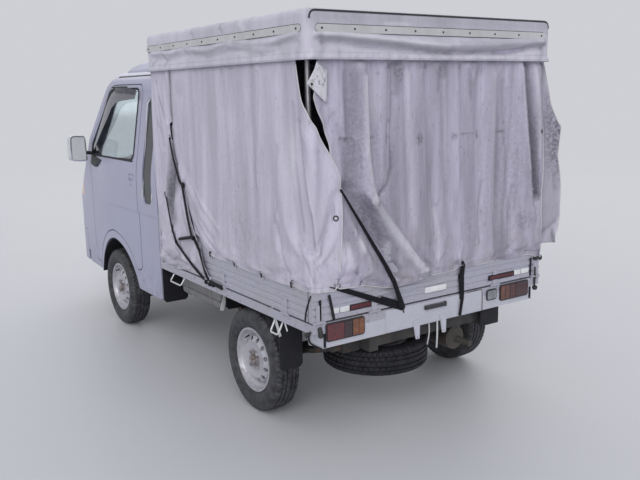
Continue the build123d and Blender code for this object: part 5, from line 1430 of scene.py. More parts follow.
REAR_CREASES_AND_SHADING = (
    ([(0.446, 1.660), (0.448, 1.389), (0.418, 1.140)], 0.020, 0.010, 0.75),
    ([(0.502, 1.660), (0.506, 1.400), (0.506, 1.212)], 0.050, -0.010, -0.40),
    ([(0.418, 1.140), (0.285, 0.965), (0.101, 0.752)], 0.026, 0.012, 0.60),
    ([(0.560, 1.196), (0.529, 1.190), (0.410, 1.055), (0.325, 0.923), (0.225, 0.760)], 0.036, -0.014, -0.55),
    ([(0.297, 1.715), (0.297, 1.270), (0.315, 1.197), (0.400, 1.120)], 0.013, -0.004, -0.75),
    ([(0.268, 1.715), (0.262, 1.600)], 0.030, -0.004, -0.45),
    ([(0.081, 1.716), (0.060, 1.300), (0.039, 0.936)], 0.009, -0.003, -0.42),
    ([(-0.128, 1.717), (-0.148, 0.780)], 0.012, -0.003, -0.70),
    ([(-0.588, 1.740), (-0.633, 1.460), (-0.676, 1.255), (-0.712, 1.060)], 0.044, -0.012, -1.0),
    ([(-0.580, 1.740), (-0.620, 1.460), (-0.664, 1.255)], 0.026, -0.010, -0.9),
    ([(-0.660, 1.700), (-0.700, 1.460), (-0.716, 1.255)], 0.020, 0.004, 0.45),
    ([(-0.558, 1.700), (-0.592, 1.420), (-0.630, 1.200)], 0.012, 0.005, 0.40),
    ([(0.195, 1.680), (0.180, 1.300), (0.160, 1.000)], 0.030, 0.005, 0.25),
    ([(-0.030, 1.640), (-0.045, 1.200)], 0.022, 0.004, 0.18),
    ([(-0.350, 1.700), (-0.360, 1.350), (-0.370, 1.000)], 0.024, 0.005, 0.22),
    ([(-0.430, 1.640), (-0.455, 1.250), (-0.500, 0.960)], 0.026, -0.006, -0.30),
    ([(-0.300, 1.160), (-0.262, 0.960), (-0.265, 0.860)], 0.010, -0.005, -0.45),
    ([(-0.520, 1.120), (-0.480, 0.940), (-0.470, 0.800)], 0.018, -0.006, -0.35),
    ([(0.030, 1.050), (0.005, 0.900), (0.020, 0.790)], 0.016, 0.006, 0.30),
    ([(0.070, 0.900), (0.030, 0.800)], 0.010, -0.004, -0.35),
    ([(0.480, 1.020), (0.500, 0.880)], 0.010, -0.004, -0.35),
    ([(-0.180, 1.700), (-0.200, 1.560)], 0.012, -0.004, -0.40),
    ([(0.000, 1.700), (0.018, 1.600)], 0.012, -0.004, -0.40),
)
# Painted shade on the inside of the right curtain's swung-out end
RIGHT_PAINTED_SHADE = (
    (1.725, 1.330, 0.075, 0.280, 0.9),
    (1.690, 1.500, 0.040, 0.160, 0.6),
)
LEFT_STAINS_AND_SHADING = (
    (1.150, 0.930, 0.260, 0.160, 0.20),
    (1.050, 1.150, 0.260, 0.300, 0.14),
    (1.420, 0.820, 0.120, 0.060, 0.20),
    (0.430, 1.640, 0.080, 0.060, 0.25),
    (0.290, 0.690, 0.180, 0.050, 0.50),
    (0.240, 1.040, 0.020, 0.050, 0.60),
    # Painted highlights
    (0.450, 0.720, 0.050, 0.060, -0.45),
    (1.560, 1.300, 0.060, 0.220, -0.25),
)
LEFT_CREASES_AND_SHADING = (
    # Painted shade along the flap's rear edge and in the hollow fold behind it
    ([(0.306, 1.720), (0.306, 1.420), (0.326, 1.330)], 0.026, -0.004, -0.75),
    ([(0.320, 1.280), (0.285, 1.190), (0.235, 1.100), (0.215, 1.020)], 0.055, 0.0, -0.95),
    ([(0.305, 1.300), (0.280, 1.180), (0.220, 1.060), (0.215, 0.990), (0.280, 0.880)], 0.060, -0.004, -0.90),
    ([(0.345, 1.220), (0.325, 1.100), (0.290, 1.020), (0.320, 0.920)], 0.045, -0.004, -0.75),
    ([(0.085, 1.680), (0.170, 1.500), (0.260, 1.390)], 0.012, -0.006, -0.45),
    ([(0.045, 1.600), (0.120, 1.440), (0.230, 1.320)], 0.010, -0.005, -0.35),
    ([(0.330, 1.150), (0.420, 0.980), (0.470, 0.860)], 0.012, -0.005, -0.40),
    ([(0.200, 0.960), (0.300, 0.800), (0.420, 0.680)], 0.012, -0.005, -0.40),
    ([(0.925, 1.720), (0.905, 1.540)], 0.016, -0.003, -0.35),
    ([(1.284, 1.700), (1.266, 1.450), (1.244, 1.310)], 0.014, -0.004, -0.30),
    ([(1.610, 1.480), (1.650, 1.283), (1.690, 1.107), (1.705, 0.960)], 0.018, -0.010, -0.42),
    ([(1.570, 1.560), (1.590, 1.300), (1.640, 1.020)], 0.014, -0.006, -0.30),
    ([(1.640, 1.400), (1.672, 1.283), (1.706, 1.107)], 0.012, 0.006, 0.35),
    ([(1.466, 1.380), (1.445, 1.210), (1.405, 1.030)], 0.014, -0.005, -0.25),
    ([(0.470, 1.130), (0.640, 0.960), (0.800, 0.870)], 0.020, -0.008, -0.30),
    ([(0.520, 1.160), (0.690, 1.010), (0.860, 0.930)], 0.020, 0.006, 0.25),
    ([(1.430, 1.025), (1.465, 0.906), (1.540, 0.800)], 0.010, -0.005, -0.35),
    ([(1.620, 0.960), (1.680, 0.860), (1.720, 0.790)], 0.012, -0.005, -0.30),
)


STITCH_PITCH = 0.010
STITCH_LENGTH = 0.0055
STITCH_INSET = 0.004
HEM_WIDTH = 0.028
SEAM_WIDTH = 0.016
PIPING_RADIUS = 0.0027
CAP_PIPING_X = 0.729
CAP_PIPING_Z = 1.932
CAP_PIPING_ROUND = 0.034
CAP_PIPING_RADIUS = 0.0042
EYELET_RADIUS = 0.010
EYELET_SIDES = 12


def stitches(shape, points, outs):
    """Short threads along points on a sheet."""
    gone = 0.0
    for k in range(1, len(points)):
        run = points[k] - points[k - 1]
        far = run.length
        if far < 1e-6:
            continue
        while gone < far:
            middle = points[k - 1] + run * (gone / far)
            half = run / far * (STITCH_LENGTH / 2)
            out = outs[k] * 0.0004
            side = outs[k].cross(run).normalized() * 0.0005
            shape.skin([[middle - half - side, middle - half + out, middle - half + side],
                        [middle + half - side, middle + half + out, middle + half + side]])
            gone += STITCH_PITCH
        gone -= far


def finish_cap():
    """Stitches along the cap's hem and above it, and dark piping round its rear panel."""
    thread = Shape()
    for z in (SKIRT_Z + 0.008, SKIRT_Z + 0.030):
        points, outs, _ = skirt(z, 0.0004)
        stitches(thread, points + points[:1], outs + outs[:1])
    thread.build("cap_stitches", "thread")
    low = SKIRT_Z - 0.10
    x = CAP_PIPING_X
    corners = ((x, low), (x, CAP_PIPING_Z), (-x, CAP_PIPING_Z), (-x, low))
    outline = rounded([Vector(p) for p in corners], CAP_PIPING_ROUND, 8)
    line = [Vector((p.x, COVER_REAR - 0.003, p.y)) for p in outline if p.y > SKIRT_Z]
    Shape().tube(line, CAP_PIPING_RADIUS, 7).build("cap_piping", "black_plastic")


def finish_edges(sheet, edges):
    """A sewn hem band, piping on the free edges and rows of stitches; each edge is (which, low, high)."""
    band = Shape().ribbon(*sheet.edge("hem", HEM_WIDTH / 2, lift=0.0003), HEM_WIDTH, 0.0012)
    band.build(sheet.name.replace("cloth", "hem"), sheet.material)
    thread = Shape()
    for inset in (STITCH_INSET, HEM_WIDTH - STITCH_INSET):
        stitches(thread, *sheet.edge("hem", inset, lift=0.0017))
    piping = Shape().tube(sheet.edge("hem")[0], PIPING_RADIUS, 6)
    for which, low, high in edges:
        piping.tube(sheet.edge(which, 0.0, low, high)[0], PIPING_RADIUS, 6)
        stitches(thread, *sheet.edge(which, 0.012, low, high, lift=0.0002))
    piping.build(sheet.name.replace("cloth", "piping"), "piping")
    thread.build(sheet.name.replace("cloth", "stitches"), "thread")


def sew_seams(sheet, lines):
    """Felled seams: raised bands with a row of stitches at each side."""
    bands = Shape()
    thread = Shape()
    for line in lines:
        points, outs = sheet.along(line, 0.0002)
        bands.ribbon(points, outs, SEAM_WIDTH, 0.0011)
        for side in (-1, 1):
            rows = []
            for k, (point, out) in enumerate(zip(points, outs)):
                run = points[min(k + 1, len(points) - 1)] - points[max(k - 1, 0)]
                across = run.cross(out).normalized()
                rows.append(point + across * side * (SEAM_WIDTH / 2 - 0.003) + out * 0.0011)
            stitches(thread, rows, outs)
    bands.build(sheet.name.replace("cloth", "seams"), sheet.material)
    thread.build(sheet.name.replace("cloth", "seam_stitches"), "thread")


def eyelets(sheet, places, name, radius=EYELET_RADIUS):
    """Dark metal rings with pale centres in a sheet."""
    rings = Shape()
    holes = Shape()
    for s, z in places:
        point, out = sheet.at(s, z)
        across = out.orthogonal().normalized()
        other = out.cross(across)
        ring = circle(point + out * 0.0008, across, other, radius * 0.78, EYELET_SIDES)
        rings.tube(ring + ring[:1], radius * 0.26, 6)
        holes.dome(point + out * 0.0004, out, radius * 0.6, 0.0008)
    rings.build(name, "dark_steel")
    holes.build(name + "_centres", "canvas")


LEFT_SEAMS = [
    [(1.284, 1.70), (1.266, 1.45), (1.244, 1.31), (1.262, 1.10), (1.27, 0.80)],
    [(0.925, 1.70), (0.905, 1.54), (0.90, 1.20), (0.91, 0.83)],
]
REAR_SEAMS = [
    [(-0.123, 1.70), (-0.135, 1.20), (-0.149, 0.78)],
    [(0.295, 1.70), (0.303, 1.274), (0.406, 1.119)],
    [(0.082, 1.70), (0.060, 1.30), (0.050, 1.00), (0.060, 0.77)],
    [(-0.560, 1.70), (-0.637, 1.170), (-0.702, 0.859)],
]
REAR_EYELETS = [(-0.715, 1.388), (-0.702, 1.086), (-0.41, 0.752), (0.473, 0.756), (0.08, 0.752),
                (-0.14, 0.757), (-0.62, 0.75), (0.60, 0.762)]
RIGHT_EYELETS = [(1.66, 1.40), (1.695, 1.24), (1.71, 1.08), (1.72, 0.83), (1.64, 1.58)]


def hang_sheets():
    """The curtains on the four sides."""
    left = Hung("left_curtain_cloth", "canvas", left_path, LEFT_EDGES, LEFT_HEM, LEFT_FOLDS, LEFT_PINS,
                seed=1.0, stains_and_shading=LEFT_STAINS_AND_SHADING, creases_and_shading=LEFT_CREASES_AND_SHADING)
    flap = Hung("left_front_flap_cloth", "canvas", left_path, FLAP_EDGES, FLAP_HEM, FLAP_FOLDS, FLAP_PINS,
                tuck=0.010, ripple=0.003, seed=21.0, cell=0.015, slack=0.012, stains_and_shading=LEFT_STAINS_AND_SHADING,
                creases_and_shading=LEFT_CREASES_AND_SHADING)
    rear = Hung("rear_curtain_cloth", "rear_canvas", rear_path, REAR_EDGES, REAR_HEM, REAR_FOLDS, REAR_PINS,
                tuck=0.002, seed=41.0, slack=0.010, stains_and_shading=REAR_STAINS_AND_SHADING, creases_and_shading=REAR_CREASES_AND_SHADING)
    right = Hung("right_curtain_cloth", "canvas", right_path, RIGHT_EDGES, RIGHT_HEM, RIGHT_FOLDS, RIGHT_PINS,
                 seed=61.0, slack=0.008, stains_and_shading=RIGHT_PAINTED_SHADE)
    front = Hung("front_curtain_cloth", "canvas", front_path, FRONT_EDGES, FRONT_HEM, FRONT_FOLDS, [],
                 tuck=-0.002, ripple=0.001, seed=81.0, cell=0.03)
    settle([left, flap, rear, right])
    sizes = (
        (left, ["left_curtain"], (1.56, 1.08), 1.38, "canopy_rails"),
        (flap, ["left_curtain"], (0.65, 1.22), 0.42, "canopy_rails"),
        (rear, ["rear_curtain"], (1.48, 1.12), 1.51, "canopy_hoops"),
        (right, ["right_curtain"], (1.72, 1.06), 1.76, "canopy_rails"),
        (front, ["canopy_roof"], (1.45, 1.16), None, "canopy_hoops"),
    )
    for sheet, nodes, flat, area, rests in sizes:
        sheet.refine()
        piece = sheet.cloth()
        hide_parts(*nodes)
    finish_edges(left, [("end", 0.10, 0.93)])
    finish_edges(flap, [])
    finish_edges(rear, [("start", 0.10, 1.0), ("end", 0.10, 0.45)])
    finish_edges(right, [("end", 0.08, 1.0)])
    sew_seams(left, LEFT_SEAMS)
    sew_seams(rear, REAR_SEAMS)
    eyelets(left, [(s, z + 0.012) for s, z in LEFT_HOOKS], "left_eyelets")
    eyelets(left, [(wrap_s(0.605), 1.067)], "left_corner_eyelet", 0.013)
    eyelets(rear, REAR_EYELETS, "rear_eyelets")
    eyelets(right, RIGHT_EYELETS, "right_eyelets")


finish_cap()
hang_sheets()


LAPEL_CORNERS = [(0.700, 1.730), (0.752, 1.640), (0.655, 1.556), (0.650, 1.690)]
LAPEL_STEPS = 12
LAPEL_EYELET = (0.724, 1.636)


def build_lapel():
    """The rear curtain's upper left corner, folded back to show its speckled inside, with an eyelet."""
    faces = grid_faces(LAPEL_STEPS + 1, LAPEL_STEPS + 1)
    points = []
    for i in range(LAPEL_STEPS + 1):
        for j in range(LAPEL_STEPS + 1):
            u = i / LAPEL_STEPS
            v = j / LAPEL_STEPS
            top = Vector(LAPEL_CORNERS[0]).lerp(Vector(LAPEL_CORNERS[1]), u)
            low = Vector(LAPEL_CORNERS[3]).lerp(Vector(LAPEL_CORNERS[2]), u)
            place = top.lerp(low, v)
            rough = noise.noise(Vector((place.x * 30, place.y * 30, 3.0)))
            bulge = 0.010 * math.sin(math.pi * u) + 0.004 * rough
            points.append((place.x - 0.006, REAR_SHEET_Y + 0.001 + bulge * (1.0 - 0.6 * v), place.y))
    lapel = add_piece("rear_curtain_lapel", points, faces, "speckled")
    thicken(lapel, 0.0)
    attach(lapel, "chassis")
    place = lay(surface("rear_curtain_lapel"), "rear", [LAPEL_EYELET])[0][0]
    place.y += 0.002
    middle = place + Vector((0, 0.0009, 0))
    ring = circle(middle, Vector((1, 0, 0)), Vector((0, 0, 1)), 0.009, EYELET_SIDES)
    Shape().tube(ring + ring[:1], 0.0028, 6).build("lapel_eyelet", "aluminium")
    # A black disc in the eyelet: painted shade in the hole
    Shape().dome(place, (0, 1, 0), 0.0065, 0.001).build("lapel_eyelet_hole_shade", "rubber")


build_lapel()


# Rubber straps over the curtains
STRAP_WIDTH = 0.026
STRAP_THICK = 0.004
RIB_THICK = 0.0018
STRAP_LIFT = 0.0015
STRAP_STEPS = 26
HOOK_SIZE = 0.016
HOOK_WIRE = 0.0028


def taut(tree, side, start, end, lift):
    """A line that a taut band takes over a surface between two places, bridging its hollows."""
    points, _ = lay(tree, side, spread(start, end, STRAP_STEPS))
    toward = -seen_from(side, 0.0, 0.0)[1]
    heights = [point.dot(toward) for point in points]
    hull = [0]
    for k in range(1, STRAP_STEPS + 1):
        while len(hull) > 1:
            a, b = hull[-2:]
            if (heights[b] - heights[a]) * (k - a) > (heights[k] - heights[a]) * (b - a):
                break
            hull.pop()
        hull.append(k)
    line = []
    for k, point in enumerate(points):
        height = float(np.interp(k, hull, [heights[i] for i in hull]))
        line.append(point + toward * (height - heights[k] + lift))
    return line, toward


def strap(name, tree, runs, body="chassis"):
    """Flat rubber bands with raised ribs; each run is (side, start, end, width, width at the end, layer)."""
    band = Shape()
    for side, start, end, width, last_width, layer in runs:
        line, out = taut(tree, side, start, end, STRAP_LIFT + layer * STRAP_THICK)
        widths = [width + (last_width - width) * k / STRAP_STEPS for k in range(STRAP_STEPS + 1)]
        band.ribbon(line, out, widths, STRAP_THICK)
        raised = [point + out * STRAP_THICK * 0.9 for point in line]
        band.ribbon(raised, out, [width * 0.3 for width in widths], RIB_THICK)
        band.dome(line[0], out, widths[0] * 0.48, STRAP_THICK * 1.3)
        band.dome(line[-1], out, last_width * 0.5, STRAP_THICK * 1.6)
    return band.build(name, "strap", body)


def hooks(name, tree, side, body, places):
    """Bent wire hooks at the straps' ends; each place is (place, the way that the hook points)."""
    shape = Shape()
    for place, along in places:
        points, outs = lay(tree, side, [place], 0.005)
        foot = points[0]
        out = outs[0]
        along = Vector(along) * HOOK_SIZE
        bent = [foot, foot + along * 1.6 + out * 0.002, foot + along * 2.4 - out * HOOK_SIZE * 0.3,
                foot + along * 1.9 - out * HOOK_SIZE * 0.7]
        shape.tube(smooth_line(bent, 4), HOOK_WIRE, 7)
    shape.build(name, "dark_steel", body)


def build_straps():
    """The straps on the left side and on the rear, with hooks and knots; their low ends ride the gates."""
    tree = surface("left_curtain_cloth", "left_front_flap_cloth", "rear_curtain_cloth", "left_gate",
                   "tailgate", "load_bed", "rear_valance")
    left = strap("left_straps", tree, (
        ("left", (0.294, 1.360), (0.440, 1.105), 0.014, 0.024, 2),
        ("left", (0.440, 1.105), (0.572, 0.830), 0.024, STRAP_WIDTH, 2),
        ("left", (0.572, 0.830), (0.612, 0.765), STRAP_WIDTH, STRAP_WIDTH, 0),
        ("left", (0.190, 1.010), (0.352, 0.778), 0.012, 0.020, 0),
        ("left", (0.375, 0.795), (0.566, 0.834), 0.016, 0.020, 2),
        ("left", (0.725, 0.614), (0.860, 0.606), 0.020, 0.026, 0),
    ))
    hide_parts("cover_straps")
    strap("left_strap_ends", tree, (
        ("left", (0.612, 0.765), (0.700, 0.622), STRAP_WIDTH, STRAP_WIDTH, 0),
        ("left", (0.352, 0.778), (0.655, 0.618), 0.020, 0.018, 1),
    ), "left_gate")
    rear = strap("rear_straps", tree, (
        ("rear", (0.583, 1.186), (0.402, 0.902), 0.010, 0.019, 1),
        ("rear", (0.402, 0.902), (0.316, 0.752), 0.019, 0.024, 1),
    ))
    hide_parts("cover_straps")
    strap("rear_strap_ends", tree, (
        ("rear", (0.316, 0.752), (0.229, 0.600), 0.024, 0.030, 1),
        ("rear", (0.229, 0.598), (0.606, 0.754), 0.030, 0.022, 0),
        ("rear", (0.262, 0.622), (0.352, 0.664), 0.030, 0.020, 1),
    ), "tailgate")
    hooks("strap_hooks", tree, "left", "chassis",
          [((0.294, 1.360), (0, -0.5, 0.87)), ((0.190, 1.010), (0, -0.5, 0.87))])
    hooks("left_gate_strap_hook", tree, "left", "left_gate", [((0.696, 0.622), (0, 0.3, -0.95))])
    hooks("tailgate_strap_hooks", tree, "rear", "tailgate",
          [((0.613, 0.752), (0.93, 0, 0.37)), ((0.233, 0.603), (-0.4, 0, -0.9))])
    points, outs = lay(tree, "rear", [(0.245, 0.618)], 0.004)
    Shape().dome(points[0], outs[0], 0.020, 0.016, 16).build("tailgate_strap_knot", "strap", "tailgate")
    points, outs = lay(tree, "left", [(0.470, 1.112)], 0.004)
    knobs = Shape().dome(points[0], outs[0], 0.016, 0.012, 16)
    for y, z in ((0.662, 0.597), (0.705, 0.594), (0.746, 0.596)):
        knobs.dome((HALF_WIDTH + 0.001, y, z), (1, 0, 0), 0.013, 0.012, 14)
    knobs.build("strap_knobs", "strap")


build_straps()


# Battens that clamp the cap to the frame
BATTEN_PROUD = 0.0055
BATTEN_Z = (BATTEN_LOW + BATTEN_HIGH) / 2
SCREW = (0.0048, 0.003)


def batten(name, start, end, out):
    """A flat aluminium bar with round ends on a slightly wider dark strip, whose rim is painted shade at the
    bar's edge.
    """
    run = Vector(end) - Vector(start)
    middle = (Vector(start) + Vector(end)) / 2
    out = Vector(out)
    # The strip shows as a dark rim round the bar: painted shade at its edge
    for label, half, depth, proud, finish in (
        ("strip", 0.0185, 0.003, 0.002, "rubber"),
        ("bar", 0.0160, 0.0035, BATTEN_PROUD, "aluminium"),
    ):
        rim = []
        for side in (1, -1):
            for step in range(13):
                angle = math.radians(-90.0 + 15.0 * step)
                rim.append(middle + run.normalized() * side * (run.length / 2 - half + half * math.cos(angle))
                           + Vector((0, 0, 1)) * side * half * math.sin(angle))
        Shape().skin([
            [p + out * (proud - depth) for p in rim],
            [p + out * (proud - 0.0008) for p in rim],
            [p + (middle - p).normalized() * 0.0006 + out * proud for p in rim],
        ]).build(f"{name}_{label}", finish)


def build_battens():
    """Battens with screws on the sides and the rear of the cap."""
    screws = Shape()
    for side, sign in SIDES:
        x = sign * COVER_HALF
        batten(f"{side}_batten", (x, 0.035, BATTEN_Z), (x, 1.672, BATTEN_Z), (sign, 0, 0))
        for k in range(10):
            screws.dome((x + sign * BATTEN_PROUD, 0.065 + k * 1.577 / 9, BATTEN_Z), (sign, 0, 0), *SCREW)
    batten("rear_batten", (0.703, COVER_REAR, BATTEN_Z), (-0.703, COVER_REAR, BATTEN_Z), (0, 1, 0))
    for k in range(9):
        screws.dome((0.672 - k * 1.344 / 8, COVER_REAR + BATTEN_PROUD, BATTEN_Z), (0, 1, 0), *SCREW)
    screws.build("batten_screws", "dark_steel")


build_battens()


# Cab trims
CAB_TREE = surface("cab_shell", "left_door", "right_door", "left_door_glass", "right_door_glass", "cab_glass")
PILLAR_Y = -0.335
BELT_Z = 1.160
DOOR_WINDOW = [(-0.372, 1.197), (-0.372, 1.640), (-0.895, 1.640), (-1.240, 1.225), (-1.205, 1.172)]
QUARTER_WINDOW = [(-0.062, 0.930), (-0.062, 1.590), (-0.205, 1.590), (-0.205, 0.930)]
MIRROR_PATCH = [(-1.245, 1.112), (-1.120, 1.096), (-0.975, 1.156), (-1.180, 1.180), (-1.243, 1.214)]
VISOR_FOOT = [(-1.150, 1.290), (-1.190, 1.235), (-1.205, 1.185)]
# Visor stations: its upper edge on the window frame and its free edge
VISOR = (
    ((-0.378, 1.655), (-0.378, 1.580)),
    ((-0.500, 1.656), (-0.500, 1.574)),
    ((-0.640, 1.656), (-0.625, 1.566)),
    ((-0.770, 1.652), (-0.715, 1.553)),
    ((-0.870, 1.624), (-0.790, 1.520)),
    ((-0.945, 1.562), (-0.852, 1.450)),
    ((-1.020, 1.472), (-0.935, 1.372)),
    ((-1.110, 1.364), (-1.030, 1.290)),
    ((-1.180, 1.280), (-1.110, 1.222)),
)
VISOR_LIFTS = (0.001, 0.011, 0.017, 0.021)


def cab_side(y, z, sign, lift=0.0):
    """A point on the cab's side as if it had no openings."""
    met, _ = lay(CAB_TREE, "left", [(PILLAR_Y, z), (y, BELT_Z), (PILLAR_Y, BELT_Z)])
    return Vector((sign * (met[0].x + met[1].x - met[2].x + lift), y, z))


def frame_on_cab(outline, radius, grow, sign, width, thick):
    """A flat band on the cab's side round an opening."""
    line = shrunk(rounded([Vector(p) for p in outline], radius, 6), -grow)
    points = [cab_side(p.x, p.y, sign, -0.001) for p in line + line[:1]]
    return Shape().ribbon(points, Vector((sign, 0, 0.15)), width, thick)


def build_visor(side, sign):
    """The smoked visor over a door's window and the dark lip on its upper edge."""
    rings = []
    for high, low in VISOR:
        outer = []
        inner = []
        for (y, z), lift in zip(spread(high, low, len(VISOR_LIFTS) - 1), VISOR_LIFTS):
            outer.append(cab_side(y, z, sign, lift + 0.0035))
            inner.append(cab_side(y, z, sign, lift + 0.0012))
        rings.append(outer + inner[::-1])
    Shape().skin(rings).build(f"{side}_visor", "smoke", f"{side}_door")
    lip = Shape().tube([ring[0] for ring in rings], 0.0045, 6)
    lip.tube([cab_side(y, z, sign, 0.006) for y, z in VISOR_FOOT], 0.011, 8)
    lip.build(f"{side}_visor_lip", "rubber", f"{side}_door")


def build_cab_trims():
    """Window and belt rubbers, visors, mirror patches, white frames round the quarter windows as painted
    highlight on their edges, and the left door's key button.
    """
    for side, sign in SIDES:
        door = f"{side}_door"
        out = Vector((sign, 0, 0))
        window = frame_on_cab(DOOR_WINDOW, 0.045, 0.003, sign, 0.015, 0.004)
        window.build(f"{side}_window_rubber", "rubber", door)
        build_visor(side, sign)
        outline = rounded([Vector(p) for p in MIRROR_PATCH], 0.02)
        patch = Shape().slab(outline, lambda a, b, proud: cab_side(a, b, sign, proud - 0.003), 0.009, 0.003)
        patch.build(f"{side}_mirror_patch", "black_plastic", door)
        line = [cab_side(-0.382 - 0.05 * k, 1.186, sign, -0.001) for k in range(17)]
        belt = Shape().ribbon(line, out, 0.013, 0.005)
        belt.build(f"{side}_belt_rubber", "rubber", door)
        # A white frame round the quarter window: painted highlight along its edge
        highlight_frame = frame_on_cab(QUARTER_WINDOW, 0.055, 0.004, sign, 0.013, 0.0045)
        highlight_frame.build(f"{side}_quarter_bezel", "white")
        if side == "left":
            key = Shape().dome(cab_side(-0.405, 1.034, sign, 0.001), out, 0.009, 0.004, 16)
            key.build("left_key_button", "chrome", door)


build_cab_trims()


# Each wiper is (pivot, arm's tip, blade's start, blade's end)
WIPERS = (
    ((0.30, 1.118), (-0.03, 1.235), (-0.20, 1.150), (0.16, 1.330)),
    ((-0.28, 1.118), (-0.46, 1.240), (-0.56, 1.160), (-0.36, 1.340)),
)


def build_front():
    """Wipers, a dark garnish with slats in the nose and a cowl grille."""
    tree = surface("cab_shell", "cab_glass")
    wipers = Shape()
    for pivot, tip, start, end in WIPERS:
        arm, _ = lay(tree, "front", spread(pivot, tip, 8), 0.016)
        wipers.tube(arm, [0.007 - 0.0004 * k for k in range(9)])
        wipers.dome(lay(tree, "front", [pivot], 0.006)[0][0], (0, -1, 0.5), 0.014, 0.016, 14)
        wipers.ribbon(*lay(tree, "front", spread(start, end, 14), 0.004), 0.009, 0.009)
    wipers.build("wipers", "black_plastic")
    garnish = Shape()
    for k in range(4):
        z = 0.889 + 0.028 * k
        garnish.ribbon(*lay(tree, "front", spread((-0.415, z), (0.415, z), 16)), 0.015, 0.005)
    garnish.build("nose_garnish", "black_plastic")
    cowl = Shape()
    for k in range(9):
        x = -0.44 + 0.11 * k
        cowl.ribbon(*lay(tree, "front", spread((x - 0.038, 1.077), (x + 0.038, 1.077), 6)), 0.020, 0.004)
    cowl.build("cowl_grille", "black_plastic")


build_front()


# Tyres, in places across and radii; the sidewall goes from the bead to the shoulder
TYRE_PITCHES = 60
TYRE_STEPS = 6
SIPE_STEPS = (0, 1)
TYRE_RADIUS = 0.268
SIDEWALL = [
    (0.046, 0.1545), (0.0505, 0.1550), (0.0525, 0.1660), (0.0562, 0.1745), (0.0590, 0.1768),
    (0.0625, 0.1860), (0.0655, 0.1900), (0.0668, 0.1945), (0.0705, 0.2030), (0.0722, 0.2100),
    (0.0723, 0.2180), (0.0708, 0.2300), (0.0700, 0.2345), (0.0680, 0.2400), (0.0650, 0.2480),
    (0.0618, 0.2545), (0.0570, 0.2602),
]
TREAD = (0.0520, 0.0460, 0.0400, 0.0390, 0.0330, 0.0320, 0.0250, 0.0180, 0.0170, 0.0110, 0.0100, 0.0)
TREAD_CROWN = 0.0038
TREAD_HALF = 0.055
# Cuts in the tread: (from, to, in metres from its middle, the steps of a pitch that it takes, depth)
TREAD_CUTS = (
    (0.0325, 0.0395, range(TYRE_STEPS), 0.0065),
    (0.0105, 0.0175, range(TYRE_STEPS), 0.0065),
    (0.0395, TREAD_HALF, SIPE_STEPS, 0.0050),
    (0.0175, 0.0325, (3,), 0.0040),
    (-0.0105, 0.0105, (5,), 0.0030),
)
SHOULDER_RADIUS = 0.252
SHOULDER_NOTCH = 0.0025
VALVE_ANGLE = 2.1
VALVE_RADIUS = 0.128


def tread_radius(across, step):
    """Radius of the tread at a place across it, at one of the steps of a pitch."""
    place = abs(across)
    cut = sum(depth for low, high, steps, depth in TREAD_CUTS if low < place < high and step in steps)
    return TYRE_RADIUS - TREAD_CROWN * (place / TREAD_HALF) ** 2 - cut


def tyre_section(step):
    """The tyre's outline from bead to bead, at one of the steps of a pitch."""
    wall = []
    for a, r in SIDEWALL:
        notch = SHOULDER_NOTCH if step in SIPE_STEPS and r > SHOULDER_RADIUS else 0.0
        wall.append((a - notch * 0.6, r - notch))
    tread = [(a, tread_radius(a, step)) for a in TREAD + tuple(-a for a in TREAD[-2::-1])]
    return wall + tread + [(-a, r) for a, r in reversed(wall)]


def build_tyre(name, node, body, upright=True):
    """A tyre with beads, sidewall rings and a blocked tread, in place of the plain one."""
    low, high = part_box(node)
    centre = (Vector(low) + Vector(high)) / 2
    rings = []
    for k in range(TYRE_PITCHES * TYRE_STEPS):
        angle = math.tau * k / (TYRE_PITCHES * TYRE_STEPS)
        ring = []
        for a, r in tyre_section(k % TYRE_STEPS):
            if upright:
                ring.append(centre + Vector((a, r * math.cos(angle), r * math.sin(angle))))
            else:
                ring.append(centre + Vector((r * math.cos(angle), r * math.sin(angle), a)))
        rings.append(ring)
    piece = Shape().skin(rings, round_trip=True).build(name, "tyre" if upright else "spare_tyre", body)
    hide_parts(node)


def build_tyres():
    """Tyres on the four wheels and on the spare, and valves in the rims."""
    along = Vector((0, math.cos(VALVE_ANGLE), math.sin(VALVE_ANGLE)))
    for axle in ("front", "rear"):
        for side, sign in SIDES:
            wheel = f"{axle}_{side}"
            body = f"{wheel}_wheel"
            build_tyre(f"{wheel}_tyre_rubber", f"{wheel}_tyre", body)
            low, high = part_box(f"{wheel}_rim")
            x = high[0] if sign > 0 else low[0]
            start = Vector((x - sign * 0.030, (low[1] + high[1]) / 2, AXLE_Z)) + along * VALVE_RADIUS
            valve = Shape().tube([
                start,
                start + Vector((sign * 0.012, 0, 0)) - along * 0.004,
                start + Vector((sign * 0.026, 0, 0)) - along * 0.009,
            ], [0.0045, 0.004, 0.003])
            valve.build(f"{wheel}_valve", "rubber", body)
    build_tyre("spare_tyre_rubber", "spare_tyre", "chassis", upright=False)


build_tyres()


# Front wheel arches
ARCH_SHADE_LINE = [(-1.119, 0.330), (-1.042, 0.496), (-0.822, 0.614), (-0.549, 0.530), (-0.380, 0.330)]
ARCH_SHADE_X = 0.592
ARCH_SHADE_WIDTH = 0.266


def build_arch_shade():
    """Dark rubber bands inside the front wheel arches: painted shade inside them."""
    liners = Shape()
    for _, sign in SIDES:
        line = smooth_line([(sign * ARCH_SHADE_X, y, z) for y, z in ARCH_SHADE_LINE], 8)
        outs = [Vector((0.0, FRONT_AXLE_Y - p.y, AXLE_Z - p.z)).normalized() for p in line]
        liners.ribbon(line, outs, ARCH_SHADE_WIDTH, 0.003)
    liners.build("front_arch_shade", "rubber")


build_arch_shade()


# Rear: reflectors, bands, latches and rods
GATE_FACE = REAR_Y - 0.001
